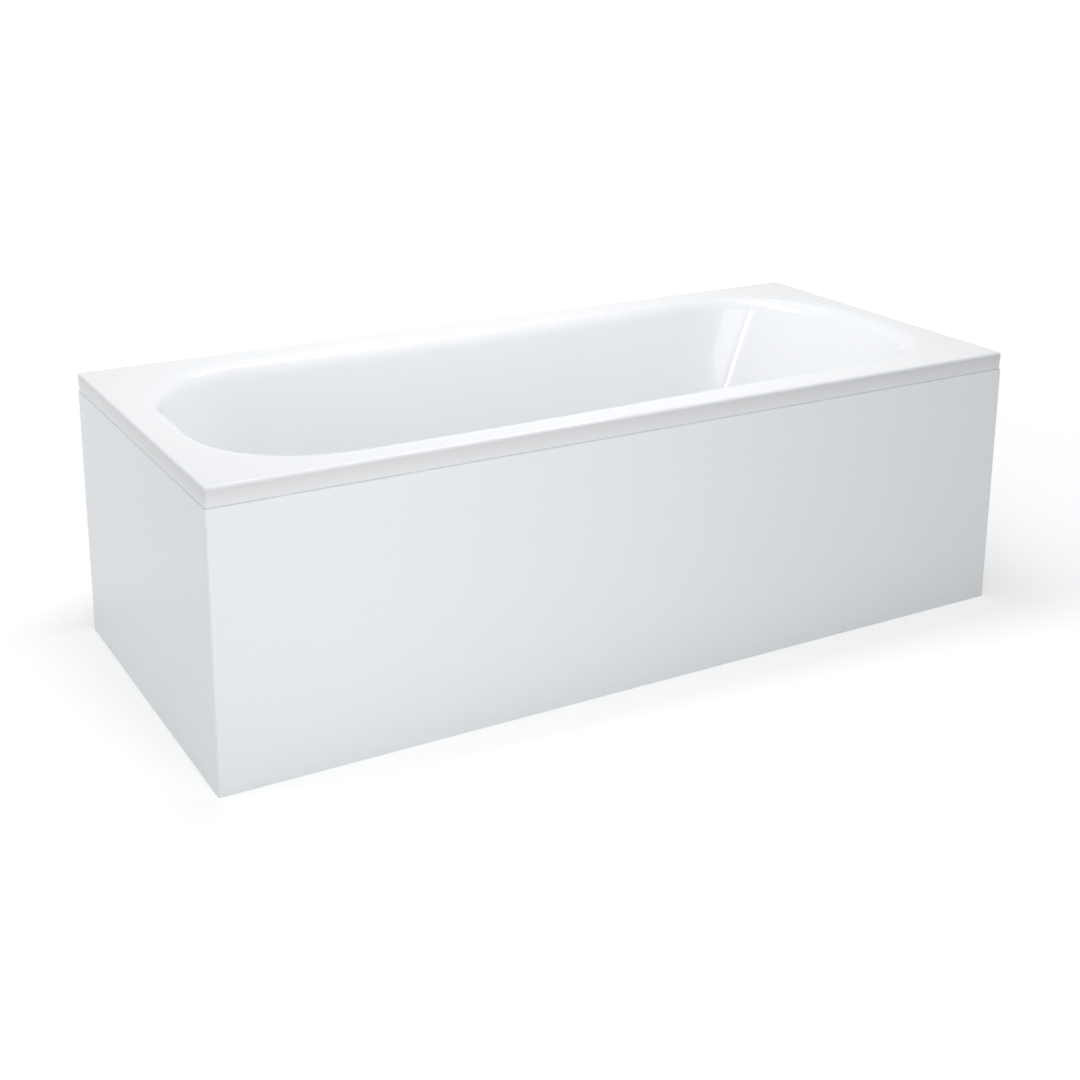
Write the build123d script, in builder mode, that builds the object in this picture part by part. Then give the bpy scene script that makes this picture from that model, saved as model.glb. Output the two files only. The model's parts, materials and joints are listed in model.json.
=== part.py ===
from build123d import *

import math
import os

os.makedirs("parts", exist_ok=True)

# A rectangular acrylic bath for the corner of a room, with an L-shaped apron.
# Millimetres. The origin is on the floor under the middle of the rim.
# -X is the foot end with the waste, +X the head end with the sloping backrest,
# -Y the open front and +Y the back wall. The head end stands against a wall too.

# Tub, outside
tub_length = 1700
tub_width = 750
lip_depth = 34
shell_wall = 5
rim_inner_corner_radius = 1.5
rim_edge_radius = 6

# Basin. A margin runs from the edge of the rim to the wall, carried up to the deck.
# The height of the rim follows from the depth of the basin and the trap that stands under it.
basin_depth = 420
side_margin = 79
foot_margin = 76
head_margin = 57
side_lean = 9
foot_lean = 14
head_lean = 28
foot_corner_radius = 205
head_corner_radius = 240
foot_floor_corner_radius = 130
head_floor_corner_radius = 150
roll_radius = 38
floor_radius = 80

# Glass-fibre backing and chipboard base
backing_wall = 2
backing_below_lip = 6
board_thickness = 18
board_edge_gap = 10
board_waste_gap = 25

# Steel frame
rail_side = 20
bar_side = 30
tube_wall = 1.5
tube_inner_corner_radius = 0.8
rail_setback = 23
head_rail_setback = 8
damping_thickness = 3
damping_end_gap = 3
bar_board_inset = 45
cap_thickness = 2
cap_plug_depth = 12
cap_clearance = 0.2

# Base board screws
board_screw_radius = 2.4
board_screw_bite = 12
board_screw_head_radius = 5
board_screw_head_height = 3
board_screw_spread = 200
board_screw_clearance = 0.05
board_screw_bar_clearance = 0.4

# Feet
foot_setback = 65
stud_radius = 5
stud_above_bar = 30
stud_clearance = 0.05
stud_bar_clearance = 0.6
stud_collar_flats = 14
stud_collar_height = 6
stud_collar_gap = 4
stud_socket_floor = 5
nut_flats = 17
nut_height = 8
pad_radius = 22
pad_height = 7
pad_neck_radius = 12
pad_neck_height = 8
pad_edge = 1.5

# Apron
panel_thickness = 4
panel_reveal = 0.8
panel_gap = 1.5
panel_end_gap = 1
panel_flange = 18
panel_corner_radius = 4
panel_edge_radius = 3
batten_thickness = 12
batten_width = 60
batten_end_gap = 22

# Spring clips that hold the apron, spread evenly along each leg
front_clips = 4
end_clips = 2
clip_sheet = 1.2
clip_width = 40
clip_flange_gap = 0.5
clip_back_gap = 1.3
clip_leaf_start = 6
clip_tab = 19
clip_screw_radius = 1.6
clip_screw_clearance = 0.1
clip_screw_length = 6
clip_screw_head_radius = 3.5
clip_screw_head_height = 2
floor_clip_base = 36
floor_clip_hole_radius = 2.25

# Wall hangers under the lip
hanger_sheet = 2
hanger_width = 60
back_hangers = 2
hanger_drop = 54
hanger_lip_gap = 0.6
hanger_tab_rise = 16
hanger_hole_radius = 2.75
hanger_hole_spacing = 36
hanger_hole_drop = 32

# Waste
waste_from_foot_wall = 120
flange_radius = 35
flange_thickness = 3
flange_dish_radius = 30
flange_dish_depth = 4
flange_bevel = 1
waste_tube_radius = 23
waste_tube_wall = 3
waste_tube_length = 25
waste_hole_clearance = 1.5
recess_clearance = 0.5
upper_gasket_thickness = 1
lower_gasket_thickness = 3
waste_pad_depth = 5
waste_pad_radius = 46
waste_pad_clearance = 3
thread_clearance = 0.1
body_flange_radius = 38
body_flange_thickness = 4

# Trap
trap_radius = 46
trap_wall = 3
trap_floor_gap = 6
trap_cup_height = 28
trap_chamber_height = 69
dip_gap = 5
ring_nut_wall = 4
ring_nut_height = 16
ring_nut_ribs = 12
ring_nut_rib_width = 4
ring_nut_rib_depth = 1.5

# Outlet pipe to the drain of the building
outlet_below_chamber = 35
outlet_radius = 20
outlet_wall = 1.8
outlet_socket_wall = 3.4
outlet_socket_length = 40
outlet_inside_socket = 36
outlet_end_gap = 50
outlet_mark_width = 2
outlet_mark_depth = 0.4
union_wall = 4.4
union_height = 20
union_nose = 4
union_ribs = 8
union_rib_width = 4
union_rib_depth = 1.5

# Overflow
overflow_below_rim = 88
overflow_hole_radius = 25
overflow_pipe_radius = 16
overflow_pipe_wall = 1.6
pipe_clearance = 0.1
overflow_bend_radius = 60
overflow_run_below_chamber = 25
overflow_pipe_from_wall = 38
overflow_socket_wall = 3.4
overflow_socket_length = 35
overflow_inside_socket = 31
overflow_gasket_thickness = 3
overflow_gasket_radius = 36
overflow_flange_thickness = 4
overflow_neck_radius = 22
overflow_body_radius = 24
overflow_body_rise = 26
overflow_body_drop = 26
overflow_body_wall = 4
overflow_neck_wall = 3
overflow_hub_radius = 6
overflow_hub_length = 12
overflow_spoke_width = 3
overflow_spokes = 3
grid_thickness = 3
grid_slots = 6
grid_slot_radius = 4.5
grid_slot_circle = 15
overflow_screw_radius = 3
overflow_screw_clearance = 0.05
overflow_screw_length = 22
overflow_screw_head_radius = 6
overflow_screw_head_height = 3
cover_radius = 37
cover_depth = 13
cover_wall = 2
cover_edge_radius = 4
cover_wall_gap = 1
cover_notch_width = 44
cover_notch_reach = 15
cover_notch_depth = 7
cover_clip_clearance = 0.3

# Push-open plug
plug_travel = 9
cap_radius = 31
cap_disc_thickness = 4
cap_edge_radius = 1.5
cap_above_flange = 1.5
cap_boss_radius = 18
cap_boss_depth = 4
seal_width = 7.5
seal_gap = 0.3
stem_radius = 5
stem_clearance = 0.06
stem_collar_radius = 7
stem_collar_height = 3
sleeve_wall = 3
sleeve_length = 18
sleeve_below_boss = 7.5
cartridge_ring_wall = 2
cartridge_ring_height = 10
cartridge_arm_width = 3
cartridge_arm_height = 6
cartridge_arms = 3

# Modelling values: how far a cut or a joined solid runs past a face, and how close counts as level
overlap_into = 0.5
tolerance = 0.01

# Levels of the trap, from the floor of the room up to the floor of the basin, and then the rim
trap_joint_z = trap_floor_gap + trap_cup_height
chamber_top = trap_joint_z + trap_chamber_height
body_top = chamber_top + body_flange_thickness
pad_underside = body_top + lower_gasket_thickness
floor_top = pad_underside + waste_pad_depth + shell_wall
rim_height = floor_top + basin_depth
cup_floor = trap_floor_gap + trap_wall
dip_bottom = cup_floor + dip_gap
outlet_z = chamber_top - outlet_below_chamber
overflow_run_z = chamber_top - overflow_run_below_chamber

half_length = tub_length / 2
half_width = tub_width / 2
lip_bottom = rim_height - lip_depth
deck_underside = rim_height - shell_wall
backing_grow = shell_wall + backing_wall


def foot_wall_x(height, grow=0):
    lean = math.radians(foot_lean)
    return -half_length + foot_margin + (rim_height - height) * math.tan(lean) - grow / math.cos(lean)


def head_wall_x(height, grow=0):
    lean = math.radians(head_lean)
    return half_length - head_margin - (rim_height - height) * math.tan(lean) + grow / math.cos(lean)


def side_wall_y(height, grow=0):
    lean = math.radians(side_lean)
    return half_width - side_margin - (rim_height - height) * math.tan(lean) + grow / math.cos(lean)


def corner_radius(at_deck, at_floor, height, grow):
    share = (rim_height - height) / basin_depth
    return at_deck + (at_floor - at_deck) * share + grow


def fillet_reach(lean, radius):
    return radius * math.tan(math.radians(90 - lean) / 2)


# The outline of the basin at one height, grown outwards by a wall thickness
def basin_outline(height, grow):
    foot_x = foot_wall_x(height, grow)
    head_x = head_wall_x(height, grow)
    side_y = side_wall_y(height, grow)
    with BuildSketch(Plane.XY.offset(height)) as outline:
        with BuildLine():
            Polyline((foot_x, -side_y), (head_x, -side_y), (head_x, side_y), (foot_x, side_y), close=True)
        make_face()
        foot_radius = corner_radius(foot_corner_radius, foot_floor_corner_radius, height, grow)
        head_radius = corner_radius(head_corner_radius, head_floor_corner_radius, height, grow)
        fillet(outline.vertices().group_by(Axis.X)[0], foot_radius)
        fillet(outline.vertices().group_by(Axis.X)[-1], head_radius)
    return outline.sketch


# The basin as a solid block, from the deck down to its rounded floor
def basin_block(grow):
    floor_level = floor_top - grow
    with BuildPart() as block:
        loft(sections=[basin_outline(rim_height, grow), basin_outline(floor_level, grow)], ruled=True)
        fillet(block.edges().group_by(Axis.Z)[0], floor_radius + grow)
    return block.part


def faces_at_height(builder, height):
    level_faces = builder.faces().filter_by(Axis.Z)
    return level_faces.filter_by_position(Axis.Z, height - tolerance, height + tolerance)


basin_inside = basin_block(0)
basin_outside = basin_block(shell_wall)
basin_backed = basin_block(backing_grow)

# Waste place and seat
waste_x = foot_wall_x(floor_top) + waste_from_foot_wall
waste_seat = floor_top - flange_thickness - upper_gasket_thickness
waste_hole_radius = waste_tube_radius + waste_hole_clearance

# Overflow placing: its plane lies on the inner face of the foot wall, pointing out of the basin
overflow_z = rim_height - overflow_below_rim
overflow_lean = math.radians(foot_lean)
overflow_plane = Plane(
    origin=(foot_wall_x(overflow_z), 0, overflow_z),
    x_dir=(0, 1, 0),
    z_dir=(-math.cos(overflow_lean), 0, -math.sin(overflow_lean)),
)
overflow_pipe_x = foot_wall_x(overflow_z) - overflow_pipe_from_wall

# Tub shell
with BuildPart() as tub_shell:
    with BuildSketch(Plane.XY.offset(lip_bottom)):
        RectangleRounded(tub_length, tub_width, rim_inner_corner_radius + shell_wall)
    extrude(amount=lip_depth)
    fillet(tub_shell.edges().group_by(Axis.Z)[-1], rim_edge_radius)
    with BuildSketch(Plane.XY.offset(lip_bottom)):
        inner_length = tub_length - 2 * shell_wall
        inner_width = tub_width - 2 * shell_wall
        RectangleRounded(inner_length, inner_width, rim_inner_corner_radius)
    extrude(amount=lip_depth - shell_wall, mode=Mode.SUBTRACT)
    add(basin_outside)
    under_deck = faces_at_height(tub_shell, deck_underside)[0]
    fillet(under_deck.inner_wires()[0].edges(), roll_radius - shell_wall)
    with BuildSketch(Plane.XY.offset(pad_underside)):
        with Locations((waste_x, 0)):
            Circle(waste_pad_radius)
    extrude(amount=waste_pad_depth + overlap_into)
    add(basin_inside, mode=Mode.SUBTRACT)
    deck = faces_at_height(tub_shell, rim_height)[0]
    fillet(deck.inner_wires()[0].edges(), roll_radius)
    with BuildSketch(Plane.XY.offset(waste_seat)):
        with Locations((waste_x, 0)):
            Circle(flange_radius + recess_clearance)
    extrude(amount=floor_top - waste_seat, mode=Mode.SUBTRACT)
    with BuildSketch(Plane.XY.offset(pad_underside)):
        with Locations((waste_x, 0)):
            Circle(waste_hole_radius)
    extrude(amount=waste_seat - pad_underside, mode=Mode.SUBTRACT)
    with BuildSketch(overflow_plane.offset(-overlap_into)):
        Circle(overflow_hole_radius)
    extrude(amount=shell_wall + backing_grow, mode=Mode.SUBTRACT)
tub_shell.part.label = "tub_shell"
export_step(tub_shell.part, "parts/tub_shell.step")

# Glass-fibre backing, bonded to the outside of the basin
backing_top = lip_bottom - backing_below_lip
with BuildPart() as fibre_backing:
    add(basin_backed)
    split(bisect_by=Plane.XY.offset(backing_top), keep=Keep.BOTTOM)
    add(basin_outside, mode=Mode.SUBTRACT)
    with BuildSketch(Plane.XY.offset(floor_top - backing_grow)):
        with Locations((waste_x, 0)):
            Circle(waste_pad_radius + waste_pad_clearance)
    extrude(amount=backing_grow, mode=Mode.SUBTRACT)
    with BuildSketch(overflow_plane):
        Circle(overflow_gasket_radius + waste_pad_clearance)
    extrude(amount=backing_grow + overlap_into, mode=Mode.SUBTRACT)
fibre_backing.part.label = "fibre_backing"
export_step(fibre_backing.part, "parts/fibre_backing.step")

# Base board, under the flat of the basin floor
board_top = floor_top - backing_grow
board_bottom = board_top - board_thickness
backed_floor_radius = floor_radius + backing_grow
flat_half_width = side_wall_y(board_top, backing_grow) - fillet_reach(side_lean, backed_floor_radius)
flat_head_x = head_wall_x(board_top, backing_grow) - fillet_reach(head_lean, backed_floor_radius)
board_half_width = flat_half_width - board_edge_gap
board_head_x = flat_head_x - board_edge_gap
board_foot_x = waste_x + waste_pad_radius + board_waste_gap
board_length = board_head_x - board_foot_x
board_middle_x = (board_head_x + board_foot_x) / 2
board_corner_radius = head_floor_corner_radius + backing_grow - fillet_reach(head_lean, backed_floor_radius)
bar_places = {
    "foot": board_foot_x + bar_board_inset,
    "middle": board_middle_x,
    "head": board_head_x - bar_board_inset,
}
screw_ys = (-board_screw_spread / 2, board_screw_spread / 2)
screw_spots = [(x, y) for x in bar_places.values() for y in screw_ys]
with BuildPart() as base_board:
    with BuildSketch(Plane.XY.offset(board_bottom)):
        with Locations((board_middle_x, 0)):
            RectangleRounded(board_length, 2 * board_half_width, board_corner_radius)
    extrude(amount=board_thickness)
    with BuildSketch(Plane.XY.offset(board_bottom)):
        with Locations(*screw_spots):
            Circle(board_screw_radius + board_screw_clearance)
    extrude(amount=board_screw_bite, mode=Mode.SUBTRACT)
base_board.part.label = "base_board"
export_step(base_board.part, "parts/base_board.step")


# The section of a square steel tube
def tube_section(plane, side):
    inside = side - 2 * tube_wall
    with BuildSketch(plane) as section:
        RectangleRounded(side, side, tube_inner_corner_radius + tube_wall)
        RectangleRounded(inside, inside, tube_inner_corner_radius, mode=Mode.SUBTRACT)
    return section.sketch


# Planes that look along each axis from a point
def plane_along_x(x, y, z):
    return Plane(origin=(x, y, z), x_dir=(0, 1, 0), z_dir=(1, 0, 0))


def plane_along_y(x, y, z):
    return Plane(origin=(x, y, z), x_dir=(1, 0, 0), z_dir=(0, 1, 0))


# A plane across a wall: its x runs inwards from the wall and its y runs up
def plane_across_wall(point, inwards):
    return Plane(origin=point, x_dir=inwards, z_dir=Vector(*inwards).cross(Vector(0, 0, 1)))


# Places spread evenly along a length, the outer ones half a step from its ends
def spread(count, length):
    step = length / count
    return [step * (index + 0.5) - length / 2 for index in range(count)]


# Frame lines. A setback runs from the edge of the rim to the near face of a tube.
rail_y = half_width - rail_setback - rail_side / 2
rail_foot_x = -half_length + rail_setback
rail_head_x = half_length - head_rail_setback
foot_rail_x = rail_foot_x + rail_side / 2
head_rail_x = rail_head_x - rail_side / 2
long_rail_length = rail_head_x - rail_foot_x
end_rail_start_y = rail_side / 2 - rail_y
end_rail_length = -2 * end_rail_start_y
rim_rail_top = deck_underside - damping_thickness
rim_rail_z = rim_rail_top - rail_side / 2
rim_rail_bottom = rim_rail_top - rail_side
bar_top = board_bottom
bar_bottom = bar_top - bar_side
bar_end_y = rail_y + rail_side / 2
lower_rail_z = bar_top + rail_side / 2
lower_rail_top = bar_top + rail_side
foot_y = half_width - foot_setback
bar_foot_spots = [(0, -foot_y), (0, foot_y)]
foot_spots = [(x, y) for x in bar_places.values() for y in (-foot_y, foot_y)]

# Apron lines
panel_face_x = -half_length + panel_reveal
panel_face_y = -half_width + panel_reveal
panel_head_x = half_length - panel_end_gap
panel_back_y = half_width - panel_end_gap
panel_top = lip_bottom - panel_gap
front_inwards = (0, 1, 0)
foot_inwards = (1, 0, 0)
clip_xs = spread(front_clips, tub_length)
clip_ys = spread(end_clips, tub_width)
clip_places = [((x, panel_face_y, 0), front_inwards) for x in clip_xs]
clip_places += [((panel_face_x, y, 0), foot_inwards) for y in clip_ys]
clip_screw_inset = rail_setback - panel_reveal + rail_side / 2
front_screw_spots = [(x, panel_face_y + clip_screw_inset) for x in clip_xs]
foot_screw_spots = [(panel_face_x + clip_screw_inset, y) for y in clip_ys]
clip_hole_radius = clip_screw_radius + clip_screw_clearance

# Rim rails, square tubes under the flat of the deck
with BuildPart() as rim_rail_front:
    front_rail_plane = plane_along_x(rail_foot_x, -rail_y, rim_rail_z)
    extrude(tube_section(front_rail_plane, rail_side), amount=long_rail_length)
    with BuildSketch(Plane.XY.offset(rim_rail_bottom)):
        with Locations(*front_screw_spots):
            Circle(clip_hole_radius)
    extrude(amount=rail_side / 2, mode=Mode.SUBTRACT)
rim_rail_front.part.label = "rim_rail_front"
export_step(rim_rail_front.part, "parts/rim_rail_front.step")

with BuildPart() as rim_rail_back:
    back_rail_plane = plane_along_x(rail_foot_x, rail_y, rim_rail_z)
    extrude(tube_section(back_rail_plane, rail_side), amount=long_rail_length)
rim_rail_back.part.label = "rim_rail_back"
export_step(rim_rail_back.part, "parts/rim_rail_back.step")

with BuildPart() as rim_rail_foot:
    foot_rail_plane = plane_along_y(foot_rail_x, end_rail_start_y, rim_rail_z)
    extrude(tube_section(foot_rail_plane, rail_side), amount=end_rail_length)
    with BuildSketch(Plane.XY.offset(rim_rail_bottom)):
        with Locations(*foot_screw_spots):
            Circle(clip_hole_radius)
    extrude(amount=rail_side / 2, mode=Mode.SUBTRACT)
rim_rail_foot.part.label = "rim_rail_foot"
export_step(rim_rail_foot.part, "parts/rim_rail_foot.step")

with BuildPart() as rim_rail_head:
    head_rail_plane = plane_along_y(head_rail_x, end_rail_start_y, rim_rail_z)
    extrude(tube_section(head_rail_plane, rail_side), amount=end_rail_length)
rim_rail_head.part.label = "rim_rail_head"
export_step(rim_rail_head.part, "parts/rim_rail_head.step")

# Foam strips between the rails and the deck
with BuildPart() as rim_damping_strips:
    with BuildSketch(Plane.XY.offset(rim_rail_top)):
        rail_middle_x = (rail_foot_x + rail_head_x) / 2
        with Locations((rail_middle_x, -rail_y), (rail_middle_x, rail_y)):
            Rectangle(long_rail_length, rail_side)
        with Locations((foot_rail_x, 0), (head_rail_x, 0)):
            Rectangle(rail_side, end_rail_length - 2 * damping_end_gap)
    extrude(amount=damping_thickness)
rim_damping_strips.part.label = "rim_damping_strips"
export_step(rim_damping_strips.part, "parts/rim_damping_strips.step")

# Uprights, from the lower rails to the rim rails
upright_places = {
    "front_foot": (foot_rail_x, -rail_y),
    "front_middle": (bar_places["middle"], -rail_y),
    "front_head": (head_rail_x, -rail_y),
    "back_foot": (foot_rail_x, rail_y),
    "back_middle": (bar_places["middle"], rail_y),
    "back_head": (head_rail_x, rail_y),
}
upright_length = rim_rail_bottom - lower_rail_top
for place, (x, y) in upright_places.items():
    with BuildPart() as upright:
        extrude(tube_section(Plane((x, y, lower_rail_top)), rail_side), amount=upright_length)
    upright.part.label = f"upright_{place}"
    export_step(upright.part, f"parts/upright_{place}.step")

# Lower rails, on top of the cross bars
for place, y in {"front": -rail_y, "back": rail_y}.items():
    with BuildPart() as lower_rail:
        lower_rail_plane = plane_along_x(rail_foot_x, y, lower_rail_z)
        extrude(tube_section(lower_rail_plane, rail_side), amount=long_rail_length)
    lower_rail.part.label = f"lower_rail_{place}"
    export_step(lower_rail.part, f"parts/lower_rail_{place}.step")

# Cross bars, under the base board, with holes for the feet and the board screws
for place, x in bar_places.items():
    with BuildPart() as cross_bar:
        bar_plane = plane_along_y(x, -bar_end_y, bar_bottom + bar_side / 2)
        extrude(tube_section(bar_plane, bar_side), amount=2 * bar_end_y)
        with BuildSketch(Plane((x, 0, bar_bottom))):
            with Locations(*bar_foot_spots):
                Circle(stud_radius + stud_bar_clearance)
            with Locations(*[(0, y) for y in screw_ys]):
                Circle(board_screw_radius + board_screw_bar_clearance)
        extrude(amount=bar_side, mode=Mode.SUBTRACT)
    cross_bar.part.label = f"cross_bar_{place}"
    export_step(cross_bar.part, f"parts/cross_bar_{place}.step")

# Plastic caps in the open ends of the tubes: each is a cover plate with a plug inside the tube
cap_spots = []
for x in bar_places.values():
    for side in (-1, 1):
        outwards = (0, side, 0)
        cap_spots.append(((x, side * bar_end_y, bar_bottom + bar_side / 2), outwards, bar_side))
for side in (-1, 1):
    for height in (rim_rail_z, lower_rail_z):
        cap_spots.append(((rail_foot_x, side * rail_y, height), (-1, 0, 0), rail_side))
        cap_spots.append(((rail_head_x, side * rail_y, height), (1, 0, 0), rail_side))
with BuildPart() as tube_end_caps:
    for point, outwards, side in cap_spots:
        cap_plane = Plane(origin=point, x_dir=(0, 0, 1), z_dir=outwards)
        with BuildSketch(cap_plane):
            RectangleRounded(side, side, tube_inner_corner_radius + tube_wall)
        extrude(amount=cap_thickness)
        with BuildSketch(cap_plane):
            plug_side = side - 2 * tube_wall - 2 * cap_clearance
            RectangleRounded(plug_side, plug_side, tube_inner_corner_radius)
        extrude(amount=-cap_plug_depth)
tube_end_caps.part.label = "tube_end_caps"
export_step(tube_end_caps.part, "parts/tube_end_caps.step")

# Screws up through the cross bars into the base board
with BuildPart() as base_board_screws:
    with BuildSketch(Plane.XY.offset(bar_bottom)):
        with Locations(*screw_spots):
            Circle(board_screw_radius)
    extrude(amount=bar_side + board_screw_bite)
    with BuildSketch(Plane.XY.offset(bar_bottom)):
        with Locations(*screw_spots):
            Circle(board_screw_head_radius)
    extrude(amount=-board_screw_head_height)
base_board_screws.part.label = "base_board_screws"
export_step(base_board_screws.part, "parts/base_board_screws.step")

# Feet: a threaded stud with a hexagon collar, standing in the socket of a plastic pad
pad_top = pad_height + pad_neck_height
collar_bottom = pad_top + stud_collar_gap
for number, (x, y) in enumerate(foot_spots, start=1):
    with BuildPart() as foot_stud:
        with BuildSketch(Plane((x, y, stud_socket_floor))):
            Circle(stud_radius)
        extrude(amount=bar_top + stud_above_bar - stud_socket_floor)
        with BuildSketch(Plane((x, y, collar_bottom))):
            RegularPolygon(stud_collar_flats / 2, 6, major_radius=False)
        extrude(amount=stud_collar_height)
    foot_stud.part.label = f"foot_stud_{number}"
    export_step(foot_stud.part, f"parts/foot_stud_{number}.step")

    with BuildPart() as foot_pad:
        with BuildSketch(Plane((x, y, 0))):
            Circle(pad_radius)
        extrude(amount=pad_height)
        chamfer(foot_pad.edges().group_by(Axis.Z)[-1], pad_edge)
        with BuildSketch(Plane((x, y, pad_height))):
            Circle(pad_neck_radius)
        extrude(amount=pad_neck_height)
        with BuildSketch(Plane((x, y, pad_top))):
            Circle(stud_radius + stud_clearance)
        extrude(amount=stud_socket_floor - pad_top, mode=Mode.SUBTRACT)
    foot_pad.part.label = f"foot_pad_{number}"
    export_step(foot_pad.part, f"parts/foot_pad_{number}.step")

# Nuts on the studs: lock nuts under the cross bars, welded nuts on top of them
with BuildPart() as foot_lock_nuts:
    with BuildSketch(Plane.XY.offset(bar_bottom)):
        with Locations(*foot_spots):
            RegularPolygon(nut_flats / 2, 6, major_radius=False)
            Circle(stud_radius + stud_clearance, mode=Mode.SUBTRACT)
    extrude(amount=-nut_height)
foot_lock_nuts.part.label = "foot_lock_nuts"
export_step(foot_lock_nuts.part, "parts/foot_lock_nuts.step")

with BuildPart() as foot_weld_nuts:
    with BuildSketch(Plane.XY.offset(bar_top)):
        with Locations(*foot_spots):
            RegularPolygon(nut_flats / 2, 6, major_radius=False)
            Circle(stud_radius + stud_clearance, mode=Mode.SUBTRACT)
    extrude(amount=nut_height)
foot_weld_nuts.part.label = "foot_weld_nuts"
export_step(foot_weld_nuts.part, "parts/foot_weld_nuts.step")


# The L of the apron seen from above, as a band of one width behind its outer face
def apron_band(height, width):
    with BuildSketch(Plane.XY.offset(height)) as band:
        with BuildLine():
            Polyline(
                (panel_face_x, panel_back_y),
                (panel_face_x, panel_face_y),
                (panel_head_x, panel_face_y),
                (panel_head_x, panel_face_y + width),
                (panel_face_x + width, panel_face_y + width),
                (panel_face_x + width, panel_back_y),
                close=True,
            )
        make_face()
        outer_corner = band.vertices().sort_by(lambda vertex: vertex.X + vertex.Y)[0]
        fillet(outer_corner, panel_corner_radius)
    return band.sketch


# Apron: front and foot end in one piece, with flanges turned in along the top and the bottom
with BuildPart() as l_panel:
    extrude(apron_band(0, panel_thickness), amount=panel_top)
    extrude(apron_band(0, panel_flange), amount=panel_thickness)
    extrude(apron_band(panel_top - panel_thickness, panel_flange), amount=panel_thickness)
    top_face = faces_at_height(l_panel, panel_top)[0]
    outer_edges = top_face.edges().filter_by(
        lambda edge: edge.center().X < panel_face_x + panel_corner_radius
        or edge.center().Y < panel_face_y + panel_corner_radius
    )
    fillet(outer_edges, panel_edge_radius)
l_panel.part.label = "l_panel"
export_step(l_panel.part, "parts/l_panel.step")

# Chipboard battens glued inside the apron, those of the front in line with the cross bars
batten_height = panel_top - 2 * batten_end_gap
batten_inset = panel_thickness + batten_thickness / 2
with BuildPart() as panel_battens:
    with BuildSketch(Plane.XY.offset(batten_end_gap)):
        with Locations(*[(x, panel_face_y + batten_inset) for x in bar_places.values()]):
            Rectangle(batten_width, batten_thickness)
        with Locations((panel_face_x + batten_inset, 0)):
            Rectangle(batten_thickness, batten_width)
    extrude(amount=batten_height)
panel_battens.part.label = "panel_battens"
export_step(panel_battens.part, "parts/panel_battens.step")

# Spring clips under the rim rails. The upper flange of the apron slides out between two leaves.
leg_start = panel_flange + clip_back_gap
leg_end = leg_start + clip_sheet
flange_bottom = panel_top - panel_thickness
low_leaf_top = flange_bottom - clip_flange_gap
low_leaf_bottom = low_leaf_top - clip_sheet
high_leaf_bottom = panel_top + clip_flange_gap
tab_bottom = rim_rail_bottom - clip_sheet
with BuildPart() as panel_top_clips:
    for point, inwards in clip_places:
        with BuildSketch(plane_across_wall(point, inwards)):
            with Locations((leg_start, low_leaf_bottom)):
                Rectangle(clip_sheet, rim_rail_bottom - low_leaf_bottom, align=(Align.MIN, Align.MIN))
            with Locations((clip_leaf_start, low_leaf_bottom), (clip_leaf_start, high_leaf_bottom)):
                Rectangle(leg_end - clip_leaf_start, clip_sheet, align=(Align.MIN, Align.MIN))
            with Locations((leg_start, tab_bottom)):
                Rectangle(clip_tab, clip_sheet, align=(Align.MIN, Align.MIN))
        extrude(amount=clip_width / 2, both=True)
    with BuildSketch(Plane.XY.offset(tab_bottom)):
        with Locations(*front_screw_spots, *foot_screw_spots):
            Circle(clip_hole_radius)
    extrude(amount=clip_sheet, mode=Mode.SUBTRACT)
panel_top_clips.part.label = "panel_top_clips"
export_step(panel_top_clips.part, "parts/panel_top_clips.step")

with BuildPart() as panel_clip_screws:
    with BuildSketch(Plane.XY.offset(tab_bottom)):
        with Locations(*front_screw_spots, *foot_screw_spots):
            Circle(clip_screw_radius)
    extrude(amount=clip_screw_length)
    with BuildSketch(Plane.XY.offset(tab_bottom)):
        with Locations(*front_screw_spots, *foot_screw_spots):
            Circle(clip_screw_head_radius)
    extrude(amount=-clip_screw_head_height)
panel_clip_screws.part.label = "panel_clip_screws"
export_step(panel_clip_screws.part, "parts/panel_clip_screws.step")

# Floor clips: a leaf over the lower flange of the apron, and a base with a hole for a floor screw
floor_leaf_bottom = panel_thickness + clip_flange_gap
floor_screw_inset = leg_end + floor_clip_base / 2
floor_screw_spots = [(x, panel_face_y + floor_screw_inset) for x in clip_xs]
floor_screw_spots += [(panel_face_x + floor_screw_inset, y) for y in clip_ys]
with BuildPart() as panel_floor_clips:
    for point, inwards in clip_places:
        with BuildSketch(plane_across_wall(point, inwards)):
            with Locations((leg_start, 0)):
                Rectangle(clip_sheet, floor_leaf_bottom + clip_sheet, align=(Align.MIN, Align.MIN))
                Rectangle(floor_clip_base + clip_sheet, clip_sheet, align=(Align.MIN, Align.MIN))
            with Locations((clip_leaf_start, floor_leaf_bottom)):
                Rectangle(leg_end - clip_leaf_start, clip_sheet, align=(Align.MIN, Align.MIN))
        extrude(amount=clip_width / 2, both=True)
    with BuildSketch(Plane.XY):
        with Locations(*floor_screw_spots):
            Circle(floor_clip_hole_radius)
    extrude(amount=clip_sheet, mode=Mode.SUBTRACT)
panel_floor_clips.part.label = "panel_floor_clips"
export_step(panel_floor_clips.part, "parts/panel_floor_clips.step")

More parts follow.
